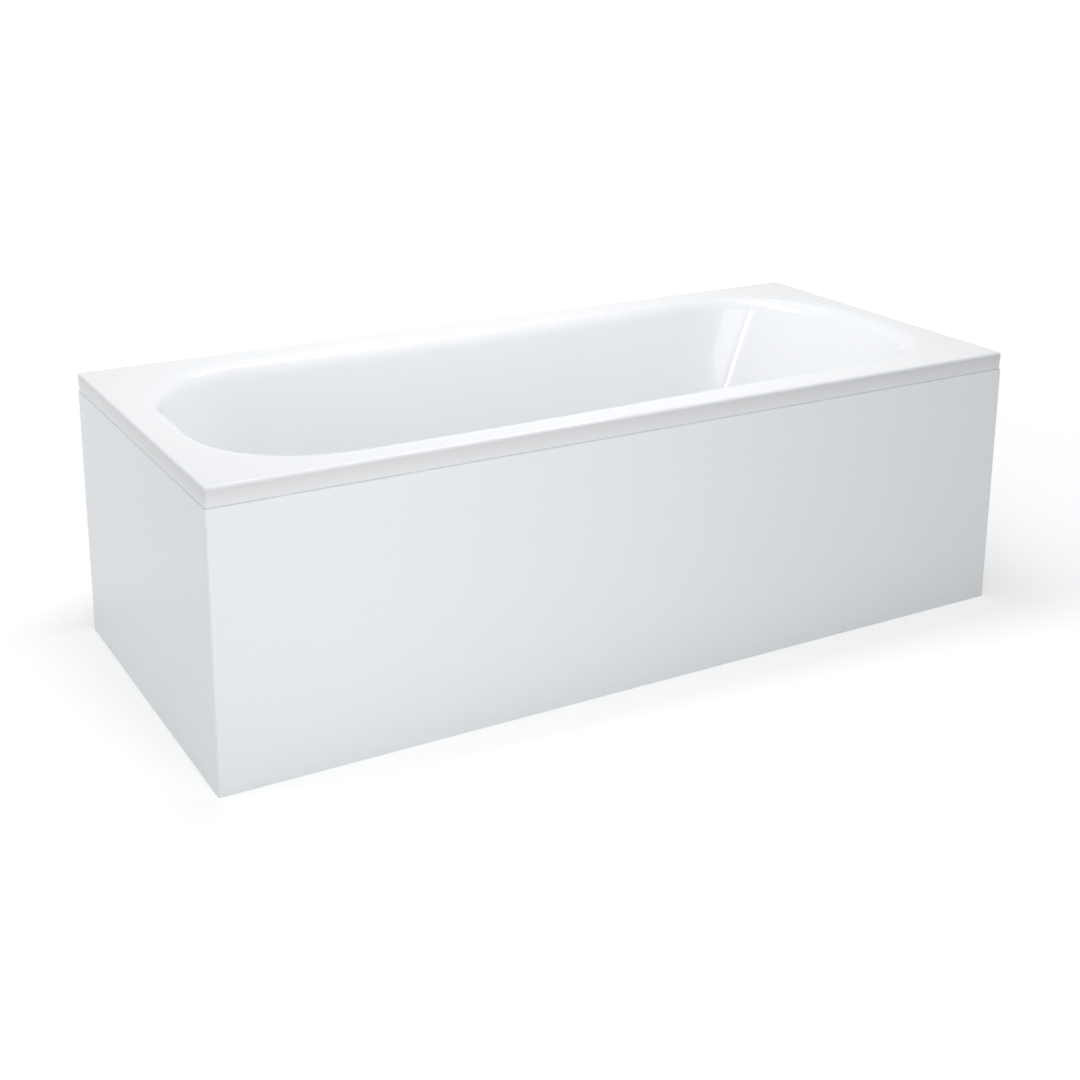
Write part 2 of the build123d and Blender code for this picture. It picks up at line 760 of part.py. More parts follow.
# Wall hangers: a plate on the wall, a ledge that carries the lip and a tab up behind it
back_inwards = (0, -1, 0)
head_inwards = (-1, 0, 0)
hanger_xs = spread(back_hangers, tub_length)
hanger_places = [((x, half_width, lip_bottom), back_inwards) for x in hanger_xs]
hanger_places.append(((half_length, 0, lip_bottom), head_inwards))
tab_start = shell_wall + hanger_lip_gap
with BuildPart() as wall_hangers:
    for point, inwards in hanger_places:
        with BuildSketch(plane_across_wall(point, inwards)):
            Rectangle(hanger_sheet, hanger_drop, align=(Align.MIN, Align.MAX))
            Rectangle(tab_start + hanger_sheet, hanger_sheet, align=(Align.MIN, Align.MAX))
            with Locations((tab_start, -hanger_sheet)):
                Rectangle(hanger_sheet, hanger_sheet + hanger_tab_rise, align=(Align.MIN, Align.MIN))
        extrude(amount=hanger_width / 2, both=True)
        with BuildSketch(Plane(origin=point, x_dir=(0, 0, 1), z_dir=inwards)):
            with Locations((-hanger_hole_drop, 0)):
                with GridLocations(0, hanger_hole_spacing, 1, 2):
                    Circle(hanger_hole_radius)
        extrude(amount=hanger_sheet, mode=Mode.SUBTRACT)
wall_hangers.part.label = "wall_hangers"
export_step(wall_hangers.part, "parts/wall_hangers.step")

# Waste flange: a dished ring in the basin floor on a tube that screws into the trap
waste_bore_radius = waste_tube_radius - waste_tube_wall
flange_seat = floor_top - flange_thickness
waste_tube_bottom = flange_seat - waste_tube_length
dish_slope = flange_dish_depth / (flange_dish_radius - waste_bore_radius)
waste_axis = Axis((waste_x, 0, 0), (0, 0, 1))
waste_side = Plane(origin=(waste_x, 0, 0), x_dir=(1, 0, 0), z_dir=(0, -1, 0))
with BuildPart() as waste_flange:
    with BuildSketch(waste_side):
        with BuildLine():
            Polyline(
                (waste_bore_radius, waste_tube_bottom),
                (waste_tube_radius, waste_tube_bottom),
                (waste_tube_radius, flange_seat),
                (flange_radius, flange_seat),
                (flange_radius, floor_top - flange_bevel),
                (flange_radius - flange_bevel, floor_top),
                (flange_dish_radius, floor_top),
                (waste_bore_radius, floor_top - flange_dish_depth),
                close=True,
            )
        make_face()
    revolve(axis=waste_axis)
waste_flange.part.label = "waste_flange"
export_step(waste_flange.part, "parts/waste_flange.step")

with BuildPart() as waste_upper_gasket:
    with BuildSketch(Plane((waste_x, 0, waste_seat))):
        Circle(flange_radius)
        Circle(waste_hole_radius, mode=Mode.SUBTRACT)
    extrude(amount=upper_gasket_thickness)
waste_upper_gasket.part.label = "waste_upper_gasket"
export_step(waste_upper_gasket.part, "parts/waste_upper_gasket.step")

with BuildPart() as waste_lower_gasket:
    with BuildSketch(Plane((waste_x, 0, body_top))):
        Circle(body_flange_radius)
        Circle(waste_hole_radius, mode=Mode.SUBTRACT)
    extrude(amount=lower_gasket_thickness)
waste_lower_gasket.part.label = "waste_lower_gasket"
export_step(waste_lower_gasket.part, "parts/waste_lower_gasket.step")

# Waste body: a chamber with a dip tube down the middle, an inlet for the overflow and the outlet socket
dip_bore = waste_tube_radius + thread_clearance
dip_radius = dip_bore + waste_tube_wall
chamber_bore = trap_radius - trap_wall
outlet_socket_bore = outlet_radius + pipe_clearance
outlet_socket_radius = outlet_socket_bore + outlet_socket_wall
outlet_socket_end = trap_radius + outlet_socket_length
overflow_socket_bore = overflow_pipe_radius + pipe_clearance
overflow_socket_radius = overflow_socket_bore + overflow_socket_wall
overflow_stub_end = trap_radius + overflow_socket_length
outlet_plane = plane_along_y(waste_x, 0, outlet_z)
stub_plane = Plane(origin=(waste_x, 0, overflow_run_z), x_dir=(0, 1, 0), z_dir=(-1, 0, 0))
with BuildPart() as waste_body:
    with BuildSketch(Plane((waste_x, 0, trap_joint_z))):
        Circle(trap_radius)
    extrude(amount=chamber_top - trap_joint_z)
    with BuildSketch(Plane((waste_x, 0, chamber_top))):
        Circle(body_flange_radius)
    extrude(amount=body_flange_thickness)
    with BuildSketch(outlet_plane):
        Circle(outlet_socket_radius)
    extrude(amount=outlet_socket_end)
    with BuildSketch(stub_plane):
        Circle(overflow_socket_radius)
    extrude(amount=overflow_stub_end)
    with BuildSketch(Plane((waste_x, 0, trap_joint_z))):
        Circle(chamber_bore)
    extrude(amount=chamber_top - trap_wall - trap_joint_z, mode=Mode.SUBTRACT)
    with BuildSketch(Plane((waste_x, 0, dip_bottom))):
        Circle(dip_radius)
    extrude(amount=chamber_top - dip_bottom)
    with BuildSketch(stub_plane):
        Circle(overflow_socket_radius)
    extrude(amount=trap_radius)
    with BuildSketch(Plane((waste_x, 0, dip_bottom))):
        Circle(dip_bore)
    extrude(amount=body_top - dip_bottom, mode=Mode.SUBTRACT)
    with BuildSketch(stub_plane):
        Circle(overflow_pipe_radius - overflow_pipe_wall)
    extrude(amount=overflow_stub_end, mode=Mode.SUBTRACT)
    with BuildSketch(stub_plane.offset(overflow_stub_end)):
        Circle(overflow_socket_bore)
    extrude(amount=-overflow_inside_socket, mode=Mode.SUBTRACT)
    with BuildSketch(outlet_plane.offset(outlet_socket_end)):
        Circle(outlet_socket_bore)
    extrude(amount=-outlet_inside_socket, mode=Mode.SUBTRACT)
    with BuildSketch(outlet_plane.offset(outlet_socket_end)):
        Circle(outlet_radius - outlet_wall)
    extrude(amount=(dip_radius + chamber_bore) / 2 - outlet_socket_end, mode=Mode.SUBTRACT)
waste_body.part.label = "waste_body"
export_step(waste_body.part, "parts/waste_body.step")

with BuildPart() as trap_cup:
    with BuildSketch(Plane((waste_x, 0, trap_floor_gap))):
        Circle(trap_radius)
    extrude(amount=trap_cup_height)
    with BuildSketch(Plane((waste_x, 0, cup_floor))):
        Circle(chamber_bore)
    extrude(amount=trap_joint_z, mode=Mode.SUBTRACT)
trap_cup.part.label = "trap_cup"
export_step(trap_cup.part, "parts/trap_cup.step")


# A ribbed ring nut around a joint, with a nose that closes on the pipe if it has one
def ring_nut(plane, bore, wall, height, ribs, rib_width, rib_depth, nose=0, nose_bore=0):
    outside = bore + wall
    with BuildPart() as nut:
        with BuildSketch(plane):
            Circle(outside)
            with PolarLocations(outside, ribs):
                Rectangle(2 * rib_depth, rib_width)
        extrude(amount=height)
        with BuildSketch(plane):
            Circle(bore)
        extrude(amount=height - nose, mode=Mode.SUBTRACT)
        if nose:
            with BuildSketch(plane):
                Circle(nose_bore)
            extrude(amount=height, mode=Mode.SUBTRACT)
    return nut.part


with BuildPart() as trap_ring_nut:
    add(ring_nut(
        Plane((waste_x, 0, trap_joint_z - ring_nut_height / 2)),
        trap_radius + thread_clearance, ring_nut_wall, ring_nut_height,
        ring_nut_ribs, ring_nut_rib_width, ring_nut_rib_depth,
    ))
trap_ring_nut.part.label = "trap_ring_nut"
export_step(trap_ring_nut.part, "parts/trap_ring_nut.step")

# Outlet pipe towards the back wall. A groove at the nut marks how far it goes into the socket.
outlet_start_y = outlet_socket_end - outlet_inside_socket
outlet_end_y = half_width - outlet_end_gap
outlet_mark_y = outlet_socket_end + union_nose
with BuildPart() as outlet_pipe:
    with BuildSketch(outlet_plane.offset(outlet_start_y)):
        Circle(outlet_radius)
        Circle(outlet_radius - outlet_wall, mode=Mode.SUBTRACT)
    extrude(amount=outlet_end_y - outlet_start_y)
    with BuildSketch(outlet_plane.offset(outlet_mark_y)):
        Circle(outlet_radius)
        Circle(outlet_radius - outlet_mark_depth, mode=Mode.SUBTRACT)
    extrude(amount=outlet_mark_width, mode=Mode.SUBTRACT)
outlet_pipe.part.label = "outlet_pipe"
export_step(outlet_pipe.part, "parts/outlet_pipe.step")

with BuildPart() as outlet_nut:
    add(ring_nut(
        outlet_plane.offset(outlet_socket_end - union_height + union_nose),
        outlet_socket_radius + thread_clearance, union_wall, union_height,
        union_ribs, union_rib_width, union_rib_depth,
        union_nose, outlet_socket_bore,
    ))
outlet_nut.part.label = "outlet_nut"
export_step(outlet_nut.part, "parts/outlet_nut.step")

# Overflow elbow, behind the foot wall. The neck meets an upright body over the down pipe.
gasket_start = shell_wall
elbow_start = gasket_start + overflow_gasket_thickness
neck_length = overflow_pipe_from_wall / math.cos(overflow_lean)
neck_bore = overflow_neck_radius - overflow_neck_wall
body_middle_z = overflow_z - overflow_pipe_from_wall * math.tan(overflow_lean)
body_bottom_z = body_middle_z - overflow_body_drop
body_height = overflow_body_drop + overflow_body_rise
body_bore = overflow_body_radius - overflow_body_wall
elbow_socket_end_z = body_bottom_z - overflow_socket_length
with BuildPart() as overflow_gasket:
    with BuildSketch(overflow_plane.offset(gasket_start)):
        Circle(overflow_gasket_radius)
        Circle(overflow_hole_radius, mode=Mode.SUBTRACT)
    extrude(amount=overflow_gasket_thickness)
overflow_gasket.part.label = "overflow_gasket"
export_step(overflow_gasket.part, "parts/overflow_gasket.step")

with BuildPart() as overflow_elbow:
    with BuildSketch(overflow_plane.offset(elbow_start)):
        Circle(overflow_gasket_radius)
    extrude(amount=overflow_flange_thickness)
    with BuildSketch(overflow_plane.offset(elbow_start)):
        Circle(overflow_neck_radius)
    extrude(amount=neck_length - elbow_start)
    with BuildSketch(Plane((overflow_pipe_x, 0, body_bottom_z))):
        Circle(overflow_body_radius)
    extrude(amount=body_height)
    with BuildSketch(Plane((overflow_pipe_x, 0, elbow_socket_end_z))):
        Circle(overflow_socket_radius)
    extrude(amount=overflow_socket_length)
    with BuildSketch(Plane((overflow_pipe_x, 0, body_bottom_z + overflow_body_wall))):
        Circle(body_bore)
    extrude(amount=body_height - 2 * overflow_body_wall, mode=Mode.SUBTRACT)
    with BuildSketch(overflow_plane.offset(elbow_start)):
        Circle(neck_bore)
    extrude(amount=neck_length - elbow_start, mode=Mode.SUBTRACT)
    with BuildSketch(Plane((overflow_pipe_x, 0, elbow_socket_end_z))):
        Circle(overflow_socket_bore)
    extrude(amount=overflow_inside_socket, mode=Mode.SUBTRACT)
    with BuildSketch(Plane((overflow_pipe_x, 0, elbow_socket_end_z))):
        Circle(overflow_pipe_radius - overflow_pipe_wall)
    extrude(amount=overflow_socket_length + overflow_body_wall, mode=Mode.SUBTRACT)
    with BuildSketch(overflow_plane.offset(elbow_start)):
        Circle(overflow_hub_radius)
        with PolarLocations(neck_bore / 2, overflow_spokes):
            Rectangle(neck_bore + overlap_into, overflow_spoke_width)
        Circle(overflow_screw_radius + overflow_screw_clearance, mode=Mode.SUBTRACT)
    extrude(amount=overflow_hub_length)
overflow_elbow.part.label = "overflow_elbow"
export_step(overflow_elbow.part, "parts/overflow_elbow.step")

# Overflow pipe: down from the elbow, round one bend and along to the waste body
pipe_top_z = elbow_socket_end_z + overflow_inside_socket
pipe_end_x = waste_x - overflow_stub_end + overflow_inside_socket
bend_z = overflow_run_z + overflow_bend_radius
bend_x = overflow_pipe_x + overflow_bend_radius
with BuildPart() as overflow_pipe:
    with BuildLine() as pipe_run:
        Line((overflow_pipe_x, 0, pipe_top_z), (overflow_pipe_x, 0, bend_z))
        TangentArc((overflow_pipe_x, 0, bend_z), (bend_x, 0, overflow_run_z), tangent=(0, 0, -1))
        Line((bend_x, 0, overflow_run_z), (pipe_end_x, 0, overflow_run_z))
    with BuildSketch(Plane(origin=(overflow_pipe_x, 0, pipe_top_z), x_dir=(1, 0, 0), z_dir=(0, 0, -1))):
        Circle(overflow_pipe_radius)
        Circle(overflow_pipe_radius - overflow_pipe_wall, mode=Mode.SUBTRACT)
    sweep()
overflow_pipe.part.label = "overflow_pipe"
export_step(overflow_pipe.part, "parts/overflow_pipe.step")

with BuildPart() as overflow_nuts:
    top_nut_plane = Plane(
        origin=(overflow_pipe_x, 0, elbow_socket_end_z + union_height - union_nose),
        x_dir=(1, 0, 0),
        z_dir=(0, 0, -1),
    )
    for nut_plane in (top_nut_plane, stub_plane.offset(overflow_stub_end - union_height + union_nose)):
        add(ring_nut(
            nut_plane, overflow_socket_radius + thread_clearance, union_wall, union_height,
            union_ribs, union_rib_width, union_rib_depth,
            union_nose, overflow_socket_bore,
        ))
overflow_nuts.part.label = "overflow_nuts"
export_step(overflow_nuts.part, "parts/overflow_nuts.step")

# Overflow grid, its screw and the cover over them, inside the basin
grid_radius = cover_radius - cover_wall - cover_clip_clearance
with BuildPart() as overflow_grid:
    with BuildSketch(overflow_plane):
        Circle(grid_radius)
        Circle(overflow_screw_radius + overflow_screw_clearance, mode=Mode.SUBTRACT)
        with PolarLocations(grid_slot_circle, grid_slots):
            Circle(grid_slot_radius, mode=Mode.SUBTRACT)
    extrude(amount=-grid_thickness)
overflow_grid.part.label = "overflow_grid"
export_step(overflow_grid.part, "parts/overflow_grid.step")

with BuildPart() as overflow_screw:
    with BuildSketch(overflow_plane.offset(-grid_thickness)):
        Circle(overflow_screw_radius)
    extrude(amount=overflow_screw_length)
    with BuildSketch(overflow_plane.offset(-grid_thickness)):
        Circle(overflow_screw_head_radius)
    extrude(amount=-overflow_screw_head_height)
overflow_screw.part.label = "overflow_screw"
export_step(overflow_screw.part, "parts/overflow_screw.step")

with BuildPart() as overflow_cover:
    with BuildSketch(overflow_plane.offset(-cover_wall_gap)):
        Circle(cover_radius)
    extrude(amount=-cover_depth)
    fillet(overflow_cover.edges().sort_by(Axis.X)[-1], cover_edge_radius)
    with BuildSketch(overflow_plane.offset(-cover_wall_gap)):
        Circle(cover_radius - cover_wall)
    extrude(amount=cover_wall - cover_depth, mode=Mode.SUBTRACT)
    with BuildSketch(overflow_plane.offset(-cover_wall_gap)):
        with Locations((0, cover_radius)):
            Rectangle(cover_notch_width, 2 * cover_notch_reach)
    extrude(amount=-cover_notch_depth, mode=Mode.SUBTRACT)
overflow_cover.part.label = "overflow_cover"
export_step(overflow_cover.part, "parts/overflow_cover.step")

# Push-open plug: cap, seal and stem rise together in the sleeve of the cartridge
cap_underside = floor_top + cap_above_flange
boss_bottom = cap_underside - cap_boss_depth
with BuildPart() as plug_cap:
    with BuildSketch(Plane((waste_x, 0, cap_underside))):
        Circle(cap_radius)
    extrude(amount=cap_disc_thickness)
    fillet(plug_cap.edges().group_by(Axis.Z)[-1], cap_edge_radius)
    with BuildSketch(Plane((waste_x, 0, cap_underside))):
        Circle(cap_boss_radius)
    extrude(amount=-cap_boss_depth)
plug_cap.part.label = "plug_cap"
export_step(plug_cap.part, "parts/plug_cap.step")

seal_radius = cap_boss_radius + seal_width
dish_bottom = floor_top - flange_dish_depth
seal_outer_z = dish_bottom + dish_slope * (seal_radius - waste_bore_radius) + seal_gap
with BuildPart() as plug_seal:
    with BuildSketch(waste_side):
        with BuildLine():
            Polyline(
                (cap_boss_radius, cap_underside),
                (seal_radius, cap_underside),
                (seal_radius, seal_outer_z),
                (waste_bore_radius, dish_bottom + seal_gap),
                (cap_boss_radius, dish_bottom + seal_gap),
                close=True,
            )
        make_face()
    revolve(axis=waste_axis)
plug_seal.part.label = "plug_seal"
export_step(plug_seal.part, "parts/plug_seal.step")

sleeve_top = boss_bottom - sleeve_below_boss
sleeve_bottom = sleeve_top - sleeve_length
collar_top = sleeve_bottom - plug_travel
with BuildPart() as plug_stem:
    with BuildSketch(Plane((waste_x, 0, collar_top - stem_collar_height))):
        Circle(stem_collar_radius)
    extrude(amount=stem_collar_height)
    with BuildSketch(Plane((waste_x, 0, collar_top))):
        Circle(stem_radius)
    extrude(amount=boss_bottom - collar_top)
plug_stem.part.label = "plug_stem"
export_step(plug_stem.part, "parts/plug_stem.step")

sleeve_radius = stem_radius + stem_clearance + sleeve_wall
cartridge_radius = waste_bore_radius - thread_clearance
ring_middle = (sleeve_top + sleeve_bottom) / 2
with BuildPart() as click_cartridge:
    with BuildSketch(Plane((waste_x, 0, sleeve_bottom))):
        Circle(sleeve_radius)
    extrude(amount=sleeve_length)
    with BuildSketch(Plane((waste_x, 0, ring_middle))):
        Circle(cartridge_radius)
        Circle(cartridge_radius - cartridge_ring_wall, mode=Mode.SUBTRACT)
    extrude(amount=cartridge_ring_height / 2, both=True)
    with BuildSketch(Plane((waste_x, 0, ring_middle))):
        with PolarLocations(cartridge_radius / 2, cartridge_arms):
            Rectangle(cartridge_radius - cartridge_ring_wall, cartridge_arm_width)
    extrude(amount=cartridge_arm_height / 2, both=True)
    with BuildSketch(Plane((waste_x, 0, sleeve_bottom))):
        Circle(stem_radius + stem_clearance)
    extrude(amount=sleeve_length, mode=Mode.SUBTRACT)
click_cartridge.part.label = "click_cartridge"
export_step(click_cartridge.part, "parts/click_cartridge.step")
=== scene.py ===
import json
import math

import bmesh
import bpy
import numpy as np
from mathutils import Matrix, Vector, noise


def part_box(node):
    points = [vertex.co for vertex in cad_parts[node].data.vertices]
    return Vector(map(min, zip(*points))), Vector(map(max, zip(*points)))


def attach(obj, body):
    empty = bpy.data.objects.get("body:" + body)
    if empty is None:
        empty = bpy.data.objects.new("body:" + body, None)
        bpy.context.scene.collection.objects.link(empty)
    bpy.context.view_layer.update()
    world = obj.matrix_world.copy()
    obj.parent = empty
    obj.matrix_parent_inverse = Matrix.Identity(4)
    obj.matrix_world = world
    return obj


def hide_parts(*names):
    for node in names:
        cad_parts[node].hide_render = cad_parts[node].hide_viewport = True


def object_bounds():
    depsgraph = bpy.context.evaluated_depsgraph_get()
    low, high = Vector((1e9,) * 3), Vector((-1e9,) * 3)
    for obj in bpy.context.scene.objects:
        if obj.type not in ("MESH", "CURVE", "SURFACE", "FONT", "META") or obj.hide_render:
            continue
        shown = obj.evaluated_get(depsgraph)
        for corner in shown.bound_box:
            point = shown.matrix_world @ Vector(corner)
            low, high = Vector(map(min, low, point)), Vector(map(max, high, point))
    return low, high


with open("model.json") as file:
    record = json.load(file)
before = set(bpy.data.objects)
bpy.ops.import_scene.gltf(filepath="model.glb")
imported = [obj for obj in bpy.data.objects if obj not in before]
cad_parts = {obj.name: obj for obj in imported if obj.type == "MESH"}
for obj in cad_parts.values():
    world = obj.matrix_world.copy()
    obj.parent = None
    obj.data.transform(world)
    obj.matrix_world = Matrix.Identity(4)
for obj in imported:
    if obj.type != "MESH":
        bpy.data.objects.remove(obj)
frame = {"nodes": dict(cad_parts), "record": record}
cadLow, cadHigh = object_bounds()
rimZ = cadHigh.z
halfLength = (cadHigh.x - cadLow.x) / 2
halfWidth = (cadHigh.y - cadLow.y) / 2
print("frame loaded:", len(frame["nodes"]), "nodes")


# A shader socket that takes part in sums, so that masks read as arithmetic
class Flow:
    def __init__(self, finish, socket):
        self.finish = finish
        self.socket = socket

    def work(self, operation, first, second):
        return self.finish.add("ShaderNodeMath", {"operation": operation}, {0: first, 1: second})

    def __add__(self, other):
        return self.work("ADD", self, other)

    def __radd__(self, other):
        return self.work("ADD", other, self)

    def __sub__(self, other):
        return self.work("SUBTRACT", self, other)

    def __rsub__(self, other):
        return self.work("SUBTRACT", other, self)

    def __mul__(self, other):
        return self.work("MULTIPLY", self, other)

    def __rmul__(self, other):
        return self.work("MULTIPLY", other, self)

    def __truediv__(self, other):
        return self.work("DIVIDE", self, other)

    def __rtruediv__(self, other):
        return self.work("DIVIDE", other, self)

    def __pow__(self, other):
        return self.work("POWER", self, other)

    def __abs__(self):
        return self.work("ABSOLUTE", self, 0)

    def above(self, level):
        return self.work("GREATER_THAN", self, level)

    def most(self, other):
        return self.work("MAXIMUM", self, other)


# A material under construction. What is the same all over is set on the shader's own sockets.
class Finish:
    def __init__(self, name, **fixed):
        self.material = bpy.data.materials.new(name)
        self.material.use_nodes = True
        self.tree = self.material.node_tree
        self.shader = self.tree.nodes["Principled BSDF"]
        for key, value in fixed.items():
            self.feed(self.shader.inputs[key.replace("_", " ")], value)
        self.here = self.add("ShaderNodeTexCoord", {}, {}, "Object")

    def add(self, kind, settings, inputs, output=0):
        node = self.tree.nodes.new(kind)
        for key, value in settings.items():
            if key == "stops":
                self.setStops(node.color_ramp, value)
            else:
                setattr(node, key, value)
        for key, value in inputs.items():
            self.feed(node.inputs[key], value)
        return Flow(self, node.outputs[output])

    def setStops(self, ramp, stops):
        while len(ramp.elements) < len(stops):
            ramp.elements.new(0.5)
        for element, (position, shade) in zip(ramp.elements, stops):
            element.position = position
            element.color = (shade, shade, shade, 1)

    def feed(self, socket, value):
        if isinstance(value, Flow):
            self.tree.links.new(value.socket, socket)
        else:
            socket.default_value = value

    def cloud(self, scale, detail=3, rough=0.55, where=None):
        sockets = {"Vector": where or self.here, "Scale": scale, "Detail": detail, "Roughness": rough}
        return self.add("ShaderNodeTexNoise", {}, sockets)

    def cells(self, scale, where=None, output="Distance", feature="F1"):
        sockets = {"Vector": where or self.here, "Scale": scale}
        return self.add("ShaderNodeTexVoronoi", {"feature": feature}, sockets, output)

    def stretched(self, x, y, z):
        return self.add("ShaderNodeVectorMath", {"operation": "MULTIPLY"}, {0: self.here, 1: (x, y, z)})

    def places(self):
        return [self.add("ShaderNodeSeparateXYZ", {}, {0: self.here}, k) for k in range(3)]

    def ramp(self, value, *stops):
        return self.add("ShaderNodeValToRGB", {"stops": stops}, {"Fac": value})

    def mix(self, share, first, second):
        return self.add("ShaderNodeMix", {"data_type": "RGBA"}, {0: share, 6: first, 7: second}, 2)

    def bump(self, height, distance, under=None):
        sockets = {"Height": height, "Distance": distance, "Strength": 1.0}
        if under:
            sockets["Normal"] = under
        return self.add("ShaderNodeBump", {}, sockets)

    def wear(self, **links):
        for key, value in links.items():
            self.feed(self.shader.inputs[key.replace("_", " ")], value)
        return self


def tone(red, green, blue):
    return (red, green, blue, 1)


# The same colour, lighter or darker
def shaded(colour, share):
    return tone(*[c * share for c in colour])


# Finishes, each with the detail of the real material at its real scale
acrylic = {
    "tub": {"colour": (0.912, 0.917, 0.925), "gloss": 0.06, "wave": 0.0005},
    "apron": {"colour": (0.862, 0.888, 0.903), "gloss": 0.16, "wave": 0.0016},
    "lipShadeReach": 0.0042,  # how deep the painted shade of the lip goes in from its face
    "lipHeight": 0.034,
    # the lip's painted shade, as a share of the sheet's own colour
    "lipShadeShare": 0.77,
    "rawDepth": 0.0043,  # the apron's outer skin; what lies deeper is its raw side
}


# Polished sheet: a long swell from the mould, a faint peel and a little haze
def acrylicSheet(name, colour, gloss, wave):
    paint = Finish(name, IOR=1.49, Specular_IOR_Level=0.5)
    drift = paint.cloud(2.2, 2)
    haze = paint.cloud(34, 4)
    swell = paint.cloud(3.1, 1, 0.4)
    peel = paint.cloud(240, 2)
    shade = paint.mix(drift, tone(*colour), shaded(colour, 0.985))
    waved = paint.bump(swell, wave)
    return paint, shade, gloss + 0.05 * haze, paint.bump(peel, 0.000012, waved), haze


def tubAcrylic():
    # painted shade on the lip: its face is darker than the rest of the sheet, darkest just beneath the
    # deck's edge and lighter towards its bottom
    paint, shade, rough, normal, _ = acrylicSheet("gelWhiteAcrylic", **acrylic["tub"])
    x, y, z = paint.places()
    reach, high = acrylic["lipShadeReach"], acrylic["lipHeight"]
    # where the painted shade goes: the lip's outer face, on a ramp that is strongest just beneath the deck's
    # edge
    face = abs(x).above(halfLength - reach).most(abs(y).above(halfWidth - reach))
    shadeUnderEdge = paint.ramp((z - (rimZ - high)) / high, (0, 0.45), (0.8, 1), (0.985, 0))
    grey = shaded(acrylic["tub"]["colour"], acrylic["lipShadeShare"])
    return paint.wear(Base_Color=paint.mix(face * shadeUnderEdge, shade, grey), Roughness=rough, Normal=normal)


def apronAcrylic():
    # its inner side is as it left the mould, dull and faintly creamy
    paint, shade, rough, normal, haze = acrylicSheet("panelAcrylic", **acrylic["apron"])
    x, y, _ = paint.places()
    inside = x.above(acrylic["rawDepth"] - halfLength) * y.above(acrylic["rawDepth"] - halfWidth)
    raw = paint.mix(haze, tone(0.72, 0.72, 0.68), tone(0.64, 0.64, 0.60))
    return paint.wear(Base_Color=paint.mix(inside, shade, raw),
                      Roughness=rough + inside * (0.30 + 0.15 * haze), Normal=normal)


def glassFibre():
    # chopped strands in resin: pale threads lying every way over a cloudy ground
    paint = Finish("glassFibre", IOR=1.53)
    ground = paint.cloud(9, 4)
    strands = []
    for turn in (0.3, 1.35, 2.45):
        turned = paint.add("ShaderNodeVectorRotate", {"rotation_type": "AXIS_ANGLE"},
                           {"Vector": paint.here, "Axis": (0.5, 0.62, 0.6), "Angle": turn})
        long = paint.add("ShaderNodeVectorMath", {"operation": "MULTIPLY"}, {0: turned, 1: (30, 620, 620)})
        strands.append(paint.ramp(paint.cloud(1, 2, 0.5, long), (0.52, 0), (0.66, 1)))
    threads = strands[0].most(strands[1]).most(strands[2])
    resin = paint.mix(ground, tone(0.66, 0.62, 0.51), tone(0.78, 0.76, 0.68))
    shade = paint.mix(threads * 0.55, resin, tone(0.88, 0.87, 0.82))
    pits = paint.cells(230)
    return paint.wear(
        Base_Color=shade,
        Roughness=0.62 - 0.3 * threads * ground,
        Normal=paint.bump(threads + 0.6 * pits + 1.5 * ground, 0.0004),
    )


def chipboard():
    # flakes of three woods pressed flat, with dark gaps between some of them
    paint = Finish("chipboard", IOR=1.45)
    flat = paint.stretched(1, 1, 1.6)
    flake = paint.cells(210, flat, "Color")
    grain = paint.cloud(900, 3, 0.6, flat)
    sort = paint.add("ShaderNodeSeparateColor", {}, {0: flake}, 0)
    other = paint.add("ShaderNodeSeparateColor", {}, {0: flake}, 1)
    light = paint.mix(sort, tone(0.50, 0.35, 0.19), tone(0.72, 0.56, 0.36))
    mixed = paint.mix(other.above(0.82), light, tone(0.34, 0.21, 0.11))
    gaps = paint.ramp(paint.cells(210, flat, "Distance", "DISTANCE_TO_EDGE"), (0.0, 1), (0.08, 0))
    wood = paint.mix(grain * 0.3, mixed, tone(0.80, 0.66, 0.46))
    shade = paint.mix(gaps * 0.5, wood, tone(0.20, 0.13, 0.07))
    return paint.wear(Base_Color=shade, Roughness=0.82 - 0.1 * grain,
                      Normal=paint.bump(sort * 0.6 + grain * 0.4 - gaps * 0.5, 0.00035))


def foamStrip():
    paint = Finish("closedCellFoam", IOR=1.4)
    cells = paint.cells(850)
    drift = paint.cloud(40, 3)
    shade = paint.mix(drift, tone(0.050, 0.052, 0.056), tone(0.085, 0.087, 0.092))
    return paint.wear(Base_Color=shade, Roughness=0.93 - 0.08 * drift, Normal=paint.bump(cells, 0.00045))


def powderCoat():
    # zinc-grey powder coat with orange peel, rubbed lighter in places
    paint = Finish("powderCoat", IOR=1.5)
    peel = paint.cells(900)
    speck = paint.cloud(1500, 2)
    drift = paint.cloud(5, 3)
    rub = paint.ramp(paint.cloud(23, 6, 0.65), (0.60, 0), (0.72, 1))
    grey = paint.mix(drift, tone(0.30, 0.315, 0.33), tone(0.36, 0.375, 0.39))
    shade = paint.mix(rub * 0.35, grey, tone(0.52, 0.53, 0.54))
    return paint.wear(Base_Color=shade, Roughness=0.42 + 0.12 * drift - 0.1 * rub,
                      Metallic=0.25 * speck, Normal=paint.bump(peel, 0.00012))


def brightZinc(name, colour, spangle):
    # plated steel: a clear metal with a faint bluish and straw drift
    paint = Finish(name, Metallic=1.0, IOR=2.5)
    drift = paint.cloud(70, 3)
    sheet = paint.cells(spangle, None, "Color")
    leaf = paint.add("ShaderNodeSeparateColor", {}, {0: sheet}, 0)
    scratch = paint.cloud(1, 2, 0.6, paint.stretched(2600, 320, 900))
    shade = paint.mix(drift, tone(*colour), tone(colour[0] * 0.93, colour[1] * 0.95, colour[2] * 1.03))
    return paint.wear(Base_Color=paint.mix(leaf * 0.22, shade, shaded(colour, 0.78)),
                      Roughness=0.24 + 0.14 * leaf + 0.08 * scratch,
                      Normal=paint.bump(scratch, 0.00002))


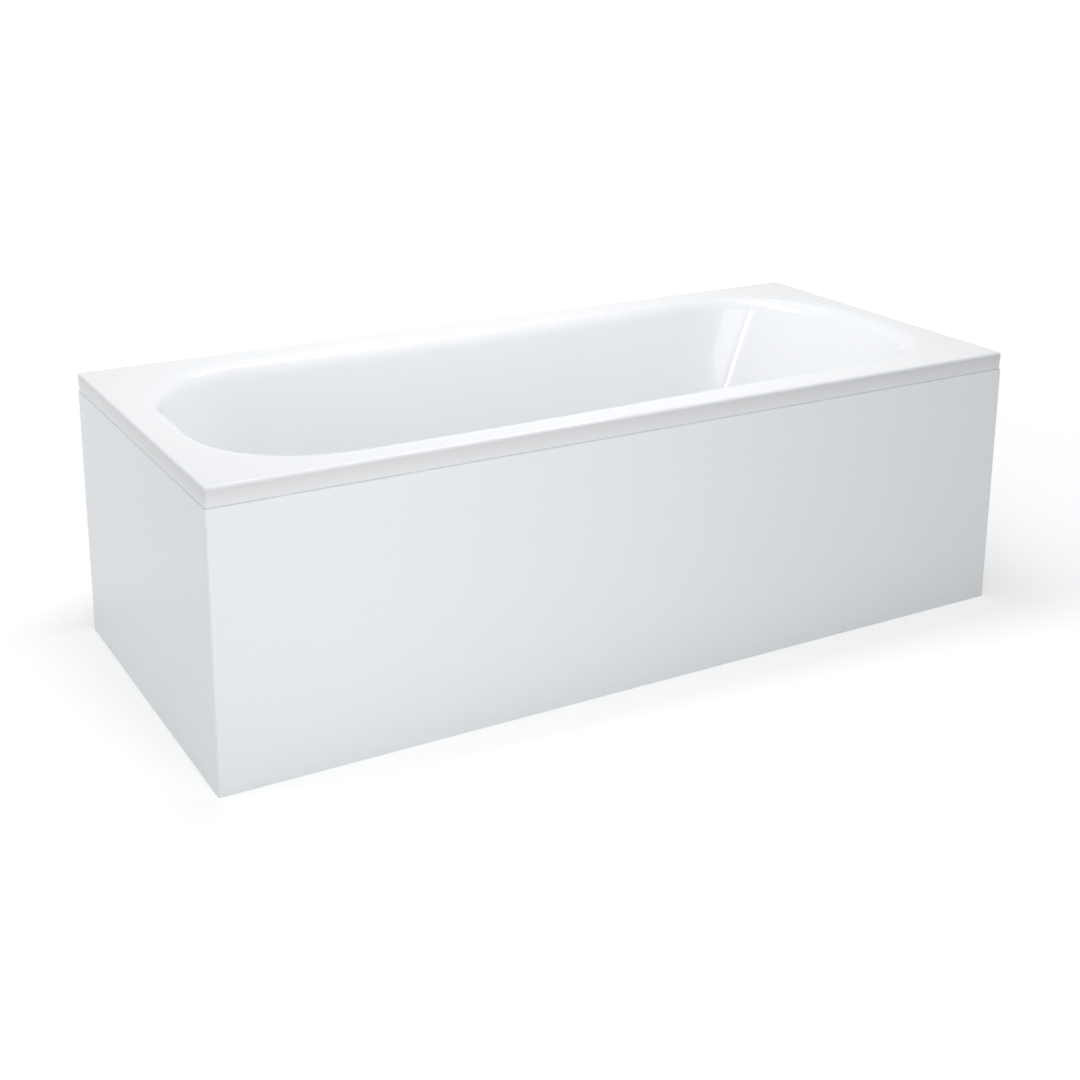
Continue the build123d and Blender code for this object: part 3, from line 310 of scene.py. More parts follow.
def polishedChrome():
    paint = Finish("polishedChrome", Metallic=1.0, IOR=2.9)
    haze = paint.cloud(120, 4)
    spots = paint.ramp(paint.cells(95), (0.0, 1), (0.10, 0))  # dried drops
    shade = paint.mix(haze, tone(0.80, 0.81, 0.82), tone(0.84, 0.85, 0.86))
    return paint.wear(Base_Color=shade, Roughness=0.045 + 0.05 * haze + 0.12 * spots,
                      Normal=paint.bump(haze, 0.00001))


def mouldedPlastic(name, colour, gloss):
    # injection-moulded pipe fittings: fine spark texture and faint flow marks
    paint = Finish(name, IOR=1.49)
    grain = paint.cloud(1800, 2)
    flow = paint.cloud(1, 3, 0.5, paint.stretched(18, 18, 46))
    shade = paint.mix(flow, tone(*colour), shaded(colour, 0.93))
    return paint.wear(Base_Color=shade, Roughness=gloss + 0.1 * flow + 0.06 * grain,
                      Normal=paint.bump(grain, 0.00004))


def softRubber():
    paint = Finish("softRubber", IOR=1.5)
    bloom = paint.ramp(paint.cloud(140, 5, 0.6), (0.45, 0), (0.7, 1))
    shade = paint.mix(bloom * 0.4, tone(0.028, 0.028, 0.029), tone(0.075, 0.076, 0.078))
    return paint.wear(Base_Color=shade, Roughness=0.62 + 0.2 * bloom, Normal=paint.bump(bloom, 0.00006))


finishes = {
    "acrylic": tubAcrylic(),
    "panel": apronAcrylic(),
    "glass_fibre": glassFibre(),
    "chipboard": chipboard(),
    "foam": foamStrip(),
    "steel_frame": powderCoat(),
    "zinc_steel": brightZinc("brightZincPlate", (0.66, 0.67, 0.68), 900),
    "spring_steel": brightZinc("galvanisedSheet", (0.55, 0.56, 0.58), 160),
    "chrome": polishedChrome(),
    "black_plastic": mouldedPlastic("blackMoulding", (0.026, 0.026, 0.028), 0.42),
    "white_plastic": mouldedPlastic("whiteMoulding", (0.78, 0.79, 0.79), 0.34),
    "grey_plastic": mouldedPlastic("greyMoulding", (0.17, 0.175, 0.185), 0.40),
    "gasket_rubber": softRubber(),
}
slotOfNode = {entry["node"]: entry["material_slot"] for entry in frame["record"]["subparts"]}
print("finishes made:", len(finishes))


# Mesh helpers. Every piece is made in place, in metres, with its object at the origin.
def meshPiece(name, points, faces, sharpAngle=30):
    mesh = bpy.data.meshes.new(name)
    mesh.from_pydata([tuple(p) for p in points], [], faces)
    mesh.validate()
    faceOutwards(mesh)
    mesh.polygons.foreach_set("use_smooth", [True] * len(mesh.polygons))
    mesh.set_sharp_from_angle(angle=math.radians(sharpAngle))
    piece = bpy.data.objects.new(name, mesh)
    bpy.context.scene.collection.objects.link(piece)
    return piece


# Turns the faces of a closed mesh outwards
def faceOutwards(mesh):
    shape = bmesh.new()
    shape.from_mesh(mesh)
    if shape.calc_volume(signed=True) < 0:
        bmesh.ops.reverse_faces(shape, faces=shape.faces)
        shape.to_mesh(mesh)
    shape.free()


# Faces of a grid of rings: each ring is closed, and the rings may close on each other too
def ringFaces(rings, steps, closed, start=0):
    faces = []
    for i in range(rings if closed else rings - 1):
        low = start + i * steps
        high = start + ((i + 1) % rings) * steps
        for j in range(steps):
            k = (j + 1) % steps
            faces.append((low + j, low + k, high + k, high + j))
    return faces


def coat(piece, finish):
    piece.data.materials.clear()
    piece.data.materials.append(finishes[finish].material)


# Gives a piece its finish, the body that carries it and the CAD nodes that it stands for
def dress(piece, body, slot, *nodes):
    coat(piece, slot)
    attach(piece, body)
    if nodes:
        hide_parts(*nodes)
    return piece


# A corner list in the plane, where a third number rounds a corner with that radius
def rounded(corners, steps=6, closed=True):
    line = []
    count = len(corners)
    for i, corner in enumerate(corners):
        here = Vector(corner[:2])
        radius = corner[2] if len(corner) > 2 else 0
        if radius == 0 or (not closed and i in (0, count - 1)):
            line.append((here.x, here.y))
            continue
        back = (Vector(corners[i - 1][:2]) - here).normalized()
        ahead = (Vector(corners[(i + 1) % count][:2]) - here).normalized()
        half = back.angle(ahead) / 2
        reach = radius / math.tan(half)
        centre = here + (back + ahead).normalized() * (radius / math.sin(half))
        first = here + back * reach - centre
        last = here + ahead * reach - centre
        turn = first.angle_signed(last)
        for step in range(steps + 1):
            angle = -turn * step / steps
            c, s = math.cos(angle), math.sin(angle)
            line.append((centre.x + first.x * c - first.y * s, centre.y + first.x * s + first.y * c))
    return line


# A ring of points about the z axis. Its radius and height may each follow the angle.
def ring(radius, height, steps=64):
    points = []
    for step in range(steps):
        angle = 2 * math.pi * step / steps
        reach = radius(angle) if callable(radius) else radius
        rise = height(angle) if callable(height) else height
        points.append(Vector((reach * math.cos(angle), reach * math.sin(angle), rise)))
    return points


# A piece made of rings of one length each. Closed, the last ring meets the first.
def stack(name, rings, placing=None, closed=True, sharpAngle=35):
    steps = len(rings[0])
    points = [placing @ point if placing else point for loop in rings for point in loop]
    faces = ringFaces(len(rings), steps, closed)
    if not closed:
        faces.append(tuple(range(steps))[::-1])
        faces.append(tuple(range((len(rings) - 1) * steps, len(rings) * steps)))
    return meshPiece(name, points, faces, sharpAngle)


# A turned piece: its section is a list of (radius, height)
def turned(name, section, placing=None, steps=72, closed=True, sharpAngle=35):
    return stack(name, [ring(r, z, steps) for r, z in section], placing, closed, sharpAngle)


# Joins pieces made apart into one
def joined(name, pieces, sharpAngle=35):
    points, faces = [], []
    for piece in pieces:
        start = len(points)
        points += [v.co.copy() for v in piece.data.vertices]
        faces += [tuple(start + v for v in p.vertices) for p in piece.data.polygons]
        scrap(piece)
    return meshPiece(name, points, faces, sharpAngle)


def scrap(piece):
    mesh = piece.data
    bpy.data.objects.remove(piece)
    bpy.data.meshes.remove(mesh)


# Cuts one piece with others
def carve(piece, cutters, sharpAngle=35):
    tool = joined("cutter", cutters)
    change = piece.modifiers.new("carve", "BOOLEAN")
    change.operation = "DIFFERENCE"
    change.solver = "EXACT"
    change.object = tool
    applyModifiers(piece)
    scrap(tool)
    piece.data.set_sharp_from_angle(angle=math.radians(sharpAngle))
    return piece


def applyModifiers(piece):
    bpy.context.view_layer.update()
    evaluated = piece.evaluated_get(bpy.context.evaluated_depsgraph_get())
    mesh = bpy.data.meshes.new_from_object(evaluated)
    piece.modifiers.clear()
    old = piece.data
    piece.data = mesh
    bpy.data.meshes.remove(old)


def drill(radius, depth, placing, steps=48):
    return turned("drill", [(radius, -depth), (radius, depth)], placing, steps, closed=False)


def middleOf(node):
    low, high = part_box(node)
    return (low + high) / 2


# The angles of a quarter turn
def quarter(steps):
    return [math.pi / 2 * step / steps for step in range(steps + 1)]


# A placing at a point with its z along an axis
def placedAt(point, axis=(0, 0, 1)):
    turn = Vector(axis).to_track_quat("Z", "Y").to_matrix().to_4x4()
    return Matrix.Translation(point) @ turn


# A placing across a wall: x runs inwards from the wall, y runs up and z along the wall
def acrossWall(point, inwards):
    along = Vector(inwards).cross(Vector((0, 0, 1)))
    turn = Matrix((inwards, (0, 0, 1), along)).transposed().to_4x4()
    return Matrix.Translation(point) @ turn


# Sheet metal bent along a line in the xy plane of its placing, and as wide as asked along z
def bentSheet(name, line, thickness, width, placing):
    path = [Vector(p) for p in rounded(line, 6, closed=False)]
    sides = []
    for i, here in enumerate(path):
        before = (here - path[max(i - 1, 0)]).normalized()
        after = (path[min(i + 1, len(path) - 1)] - here).normalized()
        ahead = (before + after).normalized()
        square = Vector((-ahead.y, ahead.x))
        mitre = max(0.5, square.dot(Vector((-after.y, after.x)) if after.length else square))
        sides.append((here + square * thickness / 2 / mitre, here - square * thickness / 2 / mitre))
    outline = [s[0] for s in sides] + [s[1] for s in reversed(sides)]
    points = [placing @ Vector((p.x, p.y, z)) for z in (-width / 2, width / 2) for p in outline]
    count, last = len(outline), len(path) - 1
    faces = ringFaces(2, count, False)
    for i in range(last):
        faces.append((i + 1, i, count - 1 - i, count - 2 - i))
        faces.append((count + i, count + i + 1, 2 * count - 2 - i, 2 * count - 1 - i))
    return meshPiece(name, points, faces)


# The radius of a hexagon at an angle, for a width across its flats
def hexagon(angle, flats):
    return flats / 2 / math.cos((angle + math.pi / 6) % (math.pi / 3) - math.pi / 6)


# A hexagon nut on a placing, with its corners turned off at both faces
def nut(flats, height, bore, placing):
    faceRadius, cornerDepth = 0.478 * flats, 0.065 * flats
    slope = math.tan(math.radians(60))
    mouth, steps = 0.0006, 48
    rings = []
    for share in (0, 0.25, 0.5, 0.75, 1, 1.3):
        z = share * cornerDepth
        rings.append((z, faceRadius + z * slope))
    rings += [(height - z, limit) for z, limit in reversed(rings)]
    loops = [ring(lambda angle: min(hexagon(angle, flats), limit), z, steps) for z, limit in rings]
    bored = ((bore + mouth, height), (bore, height - mouth), (bore, mouth), (bore + mouth, 0))
    loops += [ring(r, z, steps) for r, z in bored]
    return stack("nut", loops, placing)


# How far a screw thread lies under its crest at an angle and a height
def threadDepth(angle, height, pitch):
    slope = abs(2 * ((height / pitch - angle / (2 * math.pi)) % 1) - 1)
    return 0.61 * pitch * (1 - min(1, max(0, 1.35 * slope - 0.17)))


# A round-headed screw whose head stands on z = 0 and whose shank runs down, with a cross recess
def screw(headRadius, headHeight, shankRadius, length, placing):
    steps = 48
    rings = [ring(shankRadius * 0.5, -length, steps), ring(shankRadius, -length + shankRadius, steps),
             ring(shankRadius, 0, steps), ring(headRadius, 0, steps)]
    for share in (1, 0.96, 0.88, 0.76, 0.62, 0.54, 0.46, 0.38, 0.3, 0.22, 0.14, 0.06):
        r = headRadius * share
        dome = headHeight * (0.35 + 0.65 * math.sqrt(max(0, 1 - share ** 3)))
        loop = ring(r, dome, steps)
        for point in loop:
            arm = min(abs(point.x), abs(point.y))
            if arm < headRadius * 0.13 and share < 0.56:
                point.z = dome - headHeight * 0.62 * (1 - share * 1.2)
        rings.append(loop)
    return stack("screw", rings, placing, closed=False)


# A ring nut for the hand: ribs run along it and end short of its faces
def ribbedRing(section, ribs, ribDepth, ribShare, ribFrom, ribTo, placing):
    steps = ribs * 14

    def ribbed(radius):
        def reach(angle):
            wave = 0.5 + 0.5 * math.cos(ribs * angle)
            return radius + ribDepth * min(1, max(0, (wave - 1 + ribShare) / 0.25))

        return reach

    rings = []
    for r, z, outside in section:
        rings.append(ring(ribbed(r) if outside and ribFrom <= z <= ribTo else r, z, steps))
    return stack("ring", rings, placing)


# The outline of a rounded square about the z axis
def squareRing(side, radius, height, steps=5):
    half = side / 2
    corners = [(half, -half, radius), (half, half, radius), (-half, half, radius), (-half, -half, radius)]
    return [Vector((x, y, height)) for x, y in rounded(corners, steps)]


# A bead of weld along an inside corner, with the ripples of the run
def weldBead(start, end, radius):
    start, end = Vector(start), Vector(end)
    placing = placedAt(start, end - start)
    length = (end - start).length
    ringGap, ringsPerRipple = 0.0007, 4
    count = round(length / ringGap)
    rings = []
    for i in range(count + 1):
        share = i / count
        taper = min(1, 6 * share, 6 * (1 - share)) ** 0.5
        ripple = 0.90 + 0.10 * math.cos(2 * math.pi * i / ringsPerRipple)
        uneven = 1 + 0.12 * noise.noise(start * 60 + Vector((0, 0, i * 0.11)))
        rings.append(ring(max(0.0004, radius * taper * ripple * uneven), length * share, 10))
    return stack("bead", rings, placing, closed=False)


# The tub: one moulding. The same rings of points run from the lip over the deck, down the
# walls and across the floor to the waste, and back underneath.
tub = {
    "shell": 0.005,
    "lipDepth": acrylic["lipHeight"],
    "rimCorner": 0.0065,  # the upright corners of the lip
    "rimEdge": 0.006,  # the edge between deck and lip
    "lipEdge": 0.0012,
    "lipDrop": 0.0011,  # how much lower the lip hangs over the apron, to close the seam to a hairline
    "lipTuck": 0.0014,  # how far the face of the lip draws in from the deck's edge down to its own
    "lipBow": 0.65,  # how much of that comes in a bow, and not evenly
    "depth": 0.420,
    "margins": {"side": 0.079, "foot": 0.076, "head": 0.057},
    "leans": {"side": 9, "foot": 14, "head": 28},
    "footCorner": (0.205, 0.130),  # radius at the deck and at the floor
    "headCorner": (0.240, 0.150),
    "roll": 0.038,
    "rollAtHeadCorner": 0.050,
    "floorRadius": 0.080,
    "softening": 40,
}
around = {"head": 16, "headCorner": 48, "side": 120, "footCorner": 44, "foot": 40, "rimCorner": 8}
floorZ = rimZ - tub["depth"]
wasteCentre = middleOf("plug_cap")
print("waste at", [round(v, 4) for v in wasteCentre])


def basinOutline(height):
    down = rimZ - height
    reach = {side: down * math.tan(math.radians(lean)) for side, lean in tub["leans"].items()}
    headX = halfLength - tub["margins"]["head"] - reach["head"]
    footX = -halfLength + tub["margins"]["foot"] + reach["foot"]
    sideY = halfWidth - tub["margins"]["side"] - reach["side"]
    share = down / tub["depth"]
    headR, footR = (top + (low - top) * share for top, low in (tub["headCorner"], tub["footCorner"]))
    ring = []

    def straight(start, end, steps):
        for step in range(steps):
            ring.append([a + (b - a) * step / steps for a, b in zip(start, end)])

    def bend(centreX, centreY, radius, start, steps):
        for step in range(steps):
            angle = math.radians(start + 90 * step / steps)
            ring.append([centreX + radius * math.cos(angle), centreY + radius * math.sin(angle)])

    straight((headX, headR - sideY), (headX, sideY - headR), around["head"])
    bend(headX - headR, sideY - headR, headR, 0, around["headCorner"])
    straight((headX - headR, sideY), (footX + footR, sideY), around["side"])
    bend(footX + footR, sideY - footR, footR, 90, around["footCorner"])
    straight((footX, sideY - footR), (footX, footR - sideY), around["foot"])
    bend(footX + footR, footR - sideY, footR, 180, around["footCorner"])
    straight((footX + footR, -sideY), (headX - headR, -sideY), around["side"])
    bend(headX - headR, headR - sideY, headR, 270, around["headCorner"])
    ring = np.array(ring)
    for _ in range(tub["softening"]):  # lets each bend run softly into its straights
        ring = (np.roll(ring, 1, 0) + 2 * ring + np.roll(ring, -1, 0)) / 4
    return ring


# The rim seen from above, a given distance inside its outer face, with the same count of points
def rimOutline(inset):
    x, y = halfLength - inset, halfWidth - inset
    radius = max(tub["rimCorner"] - inset, 0.0004)
    ring = []
    order = ("head", "headCorner", "side", "footCorner", "foot", "footCorner", "side", "headCorner")
    starts = np.cumsum([0] + [around[part] for part in order])

    def corner(first, last, signX, signY, steps, endFirst):
        bendSteps = around["rimCorner"]
        endRun = y - radius - abs(first[1] if endFirst else last[1])
        sideRun = x - radius - abs(last[0] if endFirst else first[0])
        onEnd = round((steps - bendSteps) * endRun / (endRun + sideRun))
        onSide = steps - bendSteps - onEnd
        endLine = [(signX * x, signY * (y - radius - endRun * (1 - i / onEnd))) for i in range(onEnd)]
        bendLine = []
        for angle in quarter(bendSteps):
            bendLine.append((signX * (x - radius + radius * math.cos(angle)),
                             signY * (y - radius + radius * math.sin(angle))))
        sideLine = [(signX * (x - radius - sideRun * (i + 1) / onSide), signY * y) for i in range(onSide)]
        line = endLine + bendLine + sideLine
        return line[:steps] if endFirst else line[::-1][:steps]

    for part, (a, b) in enumerate(zip(starts[:-1], starts[1:])):
        first, last = deckRing[a], deckRing[b % len(deckRing)]
        if part in (0, 4):
            ring += [(x if part == 0 else -x, p[1]) for p in deckRing[a:b]]
        elif part in (2, 6):
            ring += [(p[0], y if part == 2 else -y) for p in deckRing[a:b]]
        else:
            signX, signY = {1: (1, 1), 3: (-1, 1), 5: (-1, -1), 7: (1, -1)}[part]
            ring += corner(first, last, signX, signY, b - a, part in (1, 5))
    return np.array(ring)


# Height of the lip's bottom edge for every column: a little lower along the front and the foot end
def lipBottom():
    x, y = rimOutline(0).T
    overApron = (x < -halfLength + 2 * tub["rimCorner"]) | (y < -halfWidth + 2 * tub["rimCorner"])
    return rimZ - tub["lipDepth"] - tub["lipDrop"] * overApron


# The face of the lip from its bottom edge, 0, to the rounded edge above it, 1
def lipFace(share):
    bow = tub["lipBow"]
    inset = tub["lipTuck"] * (1 - (1 - bow) * share - bow * share ** 2)
    low, high = lipBottom() + tub["lipEdge"], rimZ - tub["rimEdge"]
    return level(rimOutline(inset), low + (high - low) * share)


# The basin's outline at the deck and at the floor, and how each column of points leans between them
deckRing = basinOutline(rimZ)
floorRing = basinOutline(floorZ)
leanRun = deckRing - floorRing
leanLength = np.linalg.norm(leanRun, axis=1)
outwards = leanRun / leanLength[:, None]
lean = np.arctan2(leanLength, tub["depth"])
columns = len(deckRing)


# How far each column lies in a head corner, from 0 to 1
def headCornerShare():
    share = np.zeros(columns)
    first = around["head"]
    length = around["headCorner"]
    bell = np.sin(np.linspace(0, math.pi, length)) ** 2
    share[first:first + length] = bell
    share[columns - length:] = bell
    return share


rollRadius = tub["roll"] + (tub["rollAtHeadCorner"] - tub["roll"]) * headCornerShare()


# One ring of points and the unit normals that point away from the basin
def rollPoint(turn):
    angle = turn * (math.pi / 2 - lean)
    reach = rollRadius * np.tan((math.pi / 2 - lean) / 2)
    flat = deckRing + outwards * (reach - rollRadius * np.sin(angle))[:, None]
    height = rimZ - rollRadius * (1 - np.cos(angle))
    normal = np.column_stack([outwards * np.sin(angle)[:, None], -np.cos(angle)])
    return np.column_stack([flat, height]), normal


def floorPoint(turn):
    radius = tub["floorRadius"]
    angle = lean + turn * (math.pi / 2 - lean)
    reach = radius * np.tan((math.pi / 2 - lean) / 2)
    flat = floorRing + outwards * (radius * np.cos(angle) - reach)[:, None]
    height = floorZ + radius * (1 - np.sin(angle))
    normal = np.column_stack([outwards * np.cos(angle)[:, None], -np.sin(angle)])
    return np.column_stack([flat, height]), normal


def easedSteps(count):
    return [(1 - math.cos(math.pi * i / count)) / 2 for i in range(count + 1)]


bendShares = [i / 20 for i in range(21)]
basinRings = [rollPoint(share) for share in bendShares]
wallTop, wallNormal = basinRings[-1]
wallFoot, _ = floorPoint(0)
basinRings += [(wallTop + (wallFoot - wallTop) * s, wallNormal) for s in easedSteps(10)[1:-1]]
basinRings += [floorPoint(share) for share in bendShares]


def level(ring, height):
    return np.column_stack([ring, np.full(len(ring), height)])


# A circle about the waste, met by straight lines from each column
def wasteCircle(radius, height):
    direction = basinRings[-1][0][:, :2] - np.array(wasteCentre[:2])
    direction /= np.linalg.norm(direction, axis=1)[:, None]
    return level(np.array(wasteCentre[:2]) + direction * radius, height)


def between(first, last, shares):
    return [first + (last - first) * share for share in shares]


waste = {"flange": 0.0355, "flangeSeat": 0.004, "hole": 0.0245, "pad": 0.046, "padDepth": 0.005,
         "overflowHole": 0.025}
upLip = (0.05, 0.2, 0.4, 0.6, 0.8, 0.95)
acrossDeck = (0.02, 0.06, 0.2, 0.4, 0.6, 0.8, 0.94, 0.98)
acrossFloor = (0.01, 0.04, 0.12, 0.25, 0.4, 0.55, 0.7, 0.82, 0.91, 0.96, 0.985)


def tubRings():
    shell, edge = tub["shell"], tub["rimEdge"]
    small = tub["lipEdge"]
    rings = []
    for angle in quarter(4):
        inset = tub["lipTuck"] + small * (1 - math.sin(angle))
        rings.append(level(rimOutline(inset), lipBottom() + small * (1 - math.cos(angle))))
    rings += [lipFace(share) for share in upLip]
    for angle in quarter(8):
        rings.append(level(rimOutline(edge * (1 - math.cos(angle))), rimZ - edge * (1 - math.sin(angle))))
    rings += between(rings[-1], basinRings[0][0], acrossDeck)
    rings += [place for place, _ in basinRings]
    rings += between(basinRings[-1][0], wasteCircle(waste["flange"], floorZ), acrossFloor)
    rings.append(wasteCircle(waste["flange"], floorZ))
    seat = floorZ - waste["flangeSeat"]
    rings.append(wasteCircle(waste["flange"], seat))
    rings.append(wasteCircle(waste["hole"], seat))
    under = floorZ - shell
    rings.append(wasteCircle(waste["hole"], under - waste["padDepth"]))
    rings.append(wasteCircle(waste["pad"], under - waste["padDepth"]))
    rings.append(wasteCircle(waste["pad"], under))
    below = [place + normal * shell for place, normal in basinRings][::-1]
    rings += between(wasteCircle(waste["pad"], under), below[0], (0.3, 0.6, 0.9))
    rings += below
    innerLip = level(rimOutline(shell), rimZ - shell)
    rings += between(below[-1], innerLip, (0.05, 0.5, 0.95))
    rings.append(innerLip)
    rings.append(level(rimOutline(shell), lipBottom() + small))
    rings.append(level(rimOutline(shell - small), lipBottom()))
    return rings


# Drills a round hole square through the foot wall, as for the overflow
def drillOverflow(piece, radius):
    centre = middleOf("overflow_screw")
    tilt = math.radians(tub["leans"]["foot"])
    return carve(piece, [drill(radius, 0.03, placedAt(centre, (-math.cos(tilt), 0, -math.sin(tilt))))])


def makeTub():
    rings = tubRings()
    points = np.concatenate(rings)
    piece = meshPiece("tubShell", points, ringFaces(len(rings), columns, True))
    drillOverflow(piece, waste["overflowHole"])
    return dress(piece, "bath", "acrylic", "tub_shell")


makeTub()
print("tub made")


# Glass-fibre backing: sprayed on the outside of the basin, uneven, with a ragged top edge
backing = {
    "thickness": 0.002,
    "belowLip": 0.006,
    "uneven": 0.0005,
    "ragged": 0.004,
    "wasteHole": 0.049,
    "overflowHole": 0.039,
    "wallRings": 30,
}


def sprayed(ring, normals, offset, uneven):
    spots = []
    for place, normal in zip(ring, normals):
        rough = noise.noise(Vector(place) * 38) + 0.6 * noise.noise(Vector(place) * 120)
        spots.append(place + normal * (offset - uneven * min(1, max(0, 0.5 + 0.6 * rough))))
    return np.array(spots)


def backingFace(offset, uneven):
    top = rimZ - tub["lipDepth"] - backing["belowLip"]
    cut = []
    for column, (high, low) in enumerate(zip(wallTop, wallFoot)):
        angle = 2 * math.pi * column / columns
        drift = noise.noise(Vector((math.cos(angle) * 22, math.sin(angle) * 22, 4)))
        drop = backing["ragged"] * (0.5 + 0.5 * drift + 0.35 * math.sin(column * 2.7) * drift)
        cut.append((high[2] - top + drop) / (high[2] - low[2]))
    cut = np.array(cut)[:, None]
    down = np.tile((0.0, 0.0, -1.0), (columns, 1))
    rings = []
    for i in range(backing["wallRings"] + 1):
        share = cut + (1 - cut) * i / backing["wallRings"]
        rings.append(sprayed(wallTop + (wallFoot - wallTop) * share, wallNormal, offset, uneven))
    for i in range(1, 17):
        place, normal = floorPoint(i / 16)
        rings.append(sprayed(place, normal, offset, uneven))
    hole = wasteCircle(backing["wasteHole"], floorZ)
    for share in (0.08, 0.2, 0.35, 0.5, 0.65, 0.8, 0.9, 0.97, 1):
        flat = basinRings[-1][0] + (hole - basinRings[-1][0]) * share
        rings.append(sprayed(flat, down, offset, uneven))
    return rings


def makeBacking():
    inner = backingFace(tub["shell"], 0)
    outer = backingFace(tub["shell"] + backing["thickness"], backing["uneven"])
    rings = inner + outer[::-1]
    piece = meshPiece("fibreBacking", np.concatenate(rings), ringFaces(len(rings), columns, True), 40)
    drillOverflow(piece, backing["overflowHole"])
    return dress(piece, "bath", "glass_fibre", "fibre_backing")


makeBacking()
print("backing made")

# Steel frame: the tubes are CAD pieces, and their welds, end caps and screws are made here
steel = {"weld": 0.0028, "capEdge": 0.0008, "capCorner": 0.0023, "capThickness": 0.002,
         "plugWall": 0.0017, "plugDepth": 0.012}
bars = [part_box("cross_bar_" + place) for place in ("foot", "middle", "head")]
lowerRails = [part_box("lower_rail_" + side) for side in ("front", "back")]
rimRails = [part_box("rim_rail_" + side) for side in ("front", "back")]
uprights = [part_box(name) for name in frame["nodes"] if name.startswith("upright_")]


def makeWelds():
    beads = []
    railLow, railHigh = lowerRails[0]
    for low, high in uprights:
        for x in (low.x, high.x):
            if railLow.x + 0.001 < x < railHigh.x - 0.001:
                beads += [((x, low.y, z), (x, high.y, z)) for z in (low.z, high.z)]
    for barLow, barHigh in bars:
        for low, high in lowerRails:
            inner = min(low.y, high.y, key=abs)
            beads.append(((barLow.x, inner, barHigh.z), (barHigh.x, inner, barHigh.z)))
            beads += [((x, low.y, barHigh.z), (x, high.y, barHigh.z)) for x in (barLow.x, barHigh.x)]
    for endRail in ("rim_rail_foot", "rim_rail_head"):
        low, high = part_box(endRail)
        x = min(low.x, high.x, key=abs)
        beads += [((x, y, low.z), (x, y, high.z)) for y in (low.y, high.y)]
    piece = joined("frameWelds", [weldBead(start, end, steel["weld"]) for start, end in beads], 60)
    return dress(piece, "bath", "steel_frame")


# A cap: a plate with a soft edge over the end of a tube, and a hollow plug inside it
def endCap(point, outwards, side):
    edge, thick, corner = steel["capEdge"], steel["capThickness"], steel["capCorner"]
    plug = side - 2 * steel["plugWall"]
    rings = [squareRing(side, corner, 0)]
    for angle in quarter(4):
        inset = edge * (1 - math.cos(angle))
        rings.append(squareRing(side - 2 * inset, corner, thick - edge * (1 - math.sin(angle))))
    rings.append(squareRing(side * 0.72, corner, thick))
    rings.append(squareRing(side * 0.66, corner, thick - 0.0004))
    dished = stack("plate", [squareRing(plug, corner * 0.5, 0)] + rings, placedAt(point, outwards), False)
    depth = -steel["plugDepth"]
    wall = [squareRing(plug, 0.0008, 0), squareRing(plug, 0.0008, depth + 0.001),
            squareRing(plug - 0.001, 0.0008, depth), squareRing(plug - 0.0034, 0.0008, depth),
            squareRing(plug - 0.0034, 0.0008, 0)]
    return [dished, stack("plug", wall, placedAt(point, outwards))]


def makeEndCaps():
    caps = []
    for low, high in bars:
        middle = (low + high) / 2
        for y in (low.y, high.y):
            caps += endCap((middle.x, y, middle.z), (0, y, 0), high.z - low.z)
    for low, high in lowerRails + rimRails:
        middle = (low + high) / 2
        for x in (low.x, high.x):
            caps += endCap((x, middle.y, middle.z), (x, 0, 0), high.z - low.z)
    return dress(joined("tubeEndCaps", caps), "bath", "black_plastic", "tube_end_caps")


# Board screws, up through the cross bars
boardScrew = {"spread": 0.200, "shank": 0.0024, "head": 0.005, "headHeight": 0.003, "bite": 0.012}


def makeBoardScrews():
    screws = []
    for low, high in bars:
        length = high.z - low.z + boardScrew["bite"]
        for y in (-boardScrew["spread"] / 2, boardScrew["spread"] / 2):
            placing = placedAt(((low.x + high.x) / 2, y, low.z), (0, 0, -1))
            screws.append(screw(boardScrew["head"], boardScrew["headHeight"],
                                boardScrew["shank"], length, placing))
    piece = joined("baseBoardScrews", screws)
    return dress(piece, "bath", "zinc_steel", "base_board_screws")


makeWelds()
makeEndCaps()
makeBoardScrews()
print("frame dressed")

# Feet: threaded studs in ribbed pads, with a lock nut under each bar and a welded nut on it
foot = {
    "stud": 0.005,
    "slack": 0.00012,  # between the crests of the thread and a nut
    "pitch": 0.0015,
    "studFoot": 0.001,
    "studBevel": 0.0006,
    "clear": 0.001,  # where the thread begins and ends inside a nut
    "sunk": 0.0005,  # how far the stud and its collar lie in each other
    "collarFlats": 0.014,
    "collarFrom": 0.019,
    "collarHeight": 0.006,
    "nutFlats": 0.017,
    "nutHeight": 0.008,
    "pad": 0.022,
    "padHeight": 0.007,
    "padEdge": 0.0015,
    "padSole": 0.001,
    "neck": 0.012,
    "neckTop": 0.015,
    "socketFloor": 0.005,
    "ribs": 12,
    "ribRise": 0.0055,
    "ribInset": 0.003,
}
barLow, barHigh = bars[0][0].z, bars[0][1].z


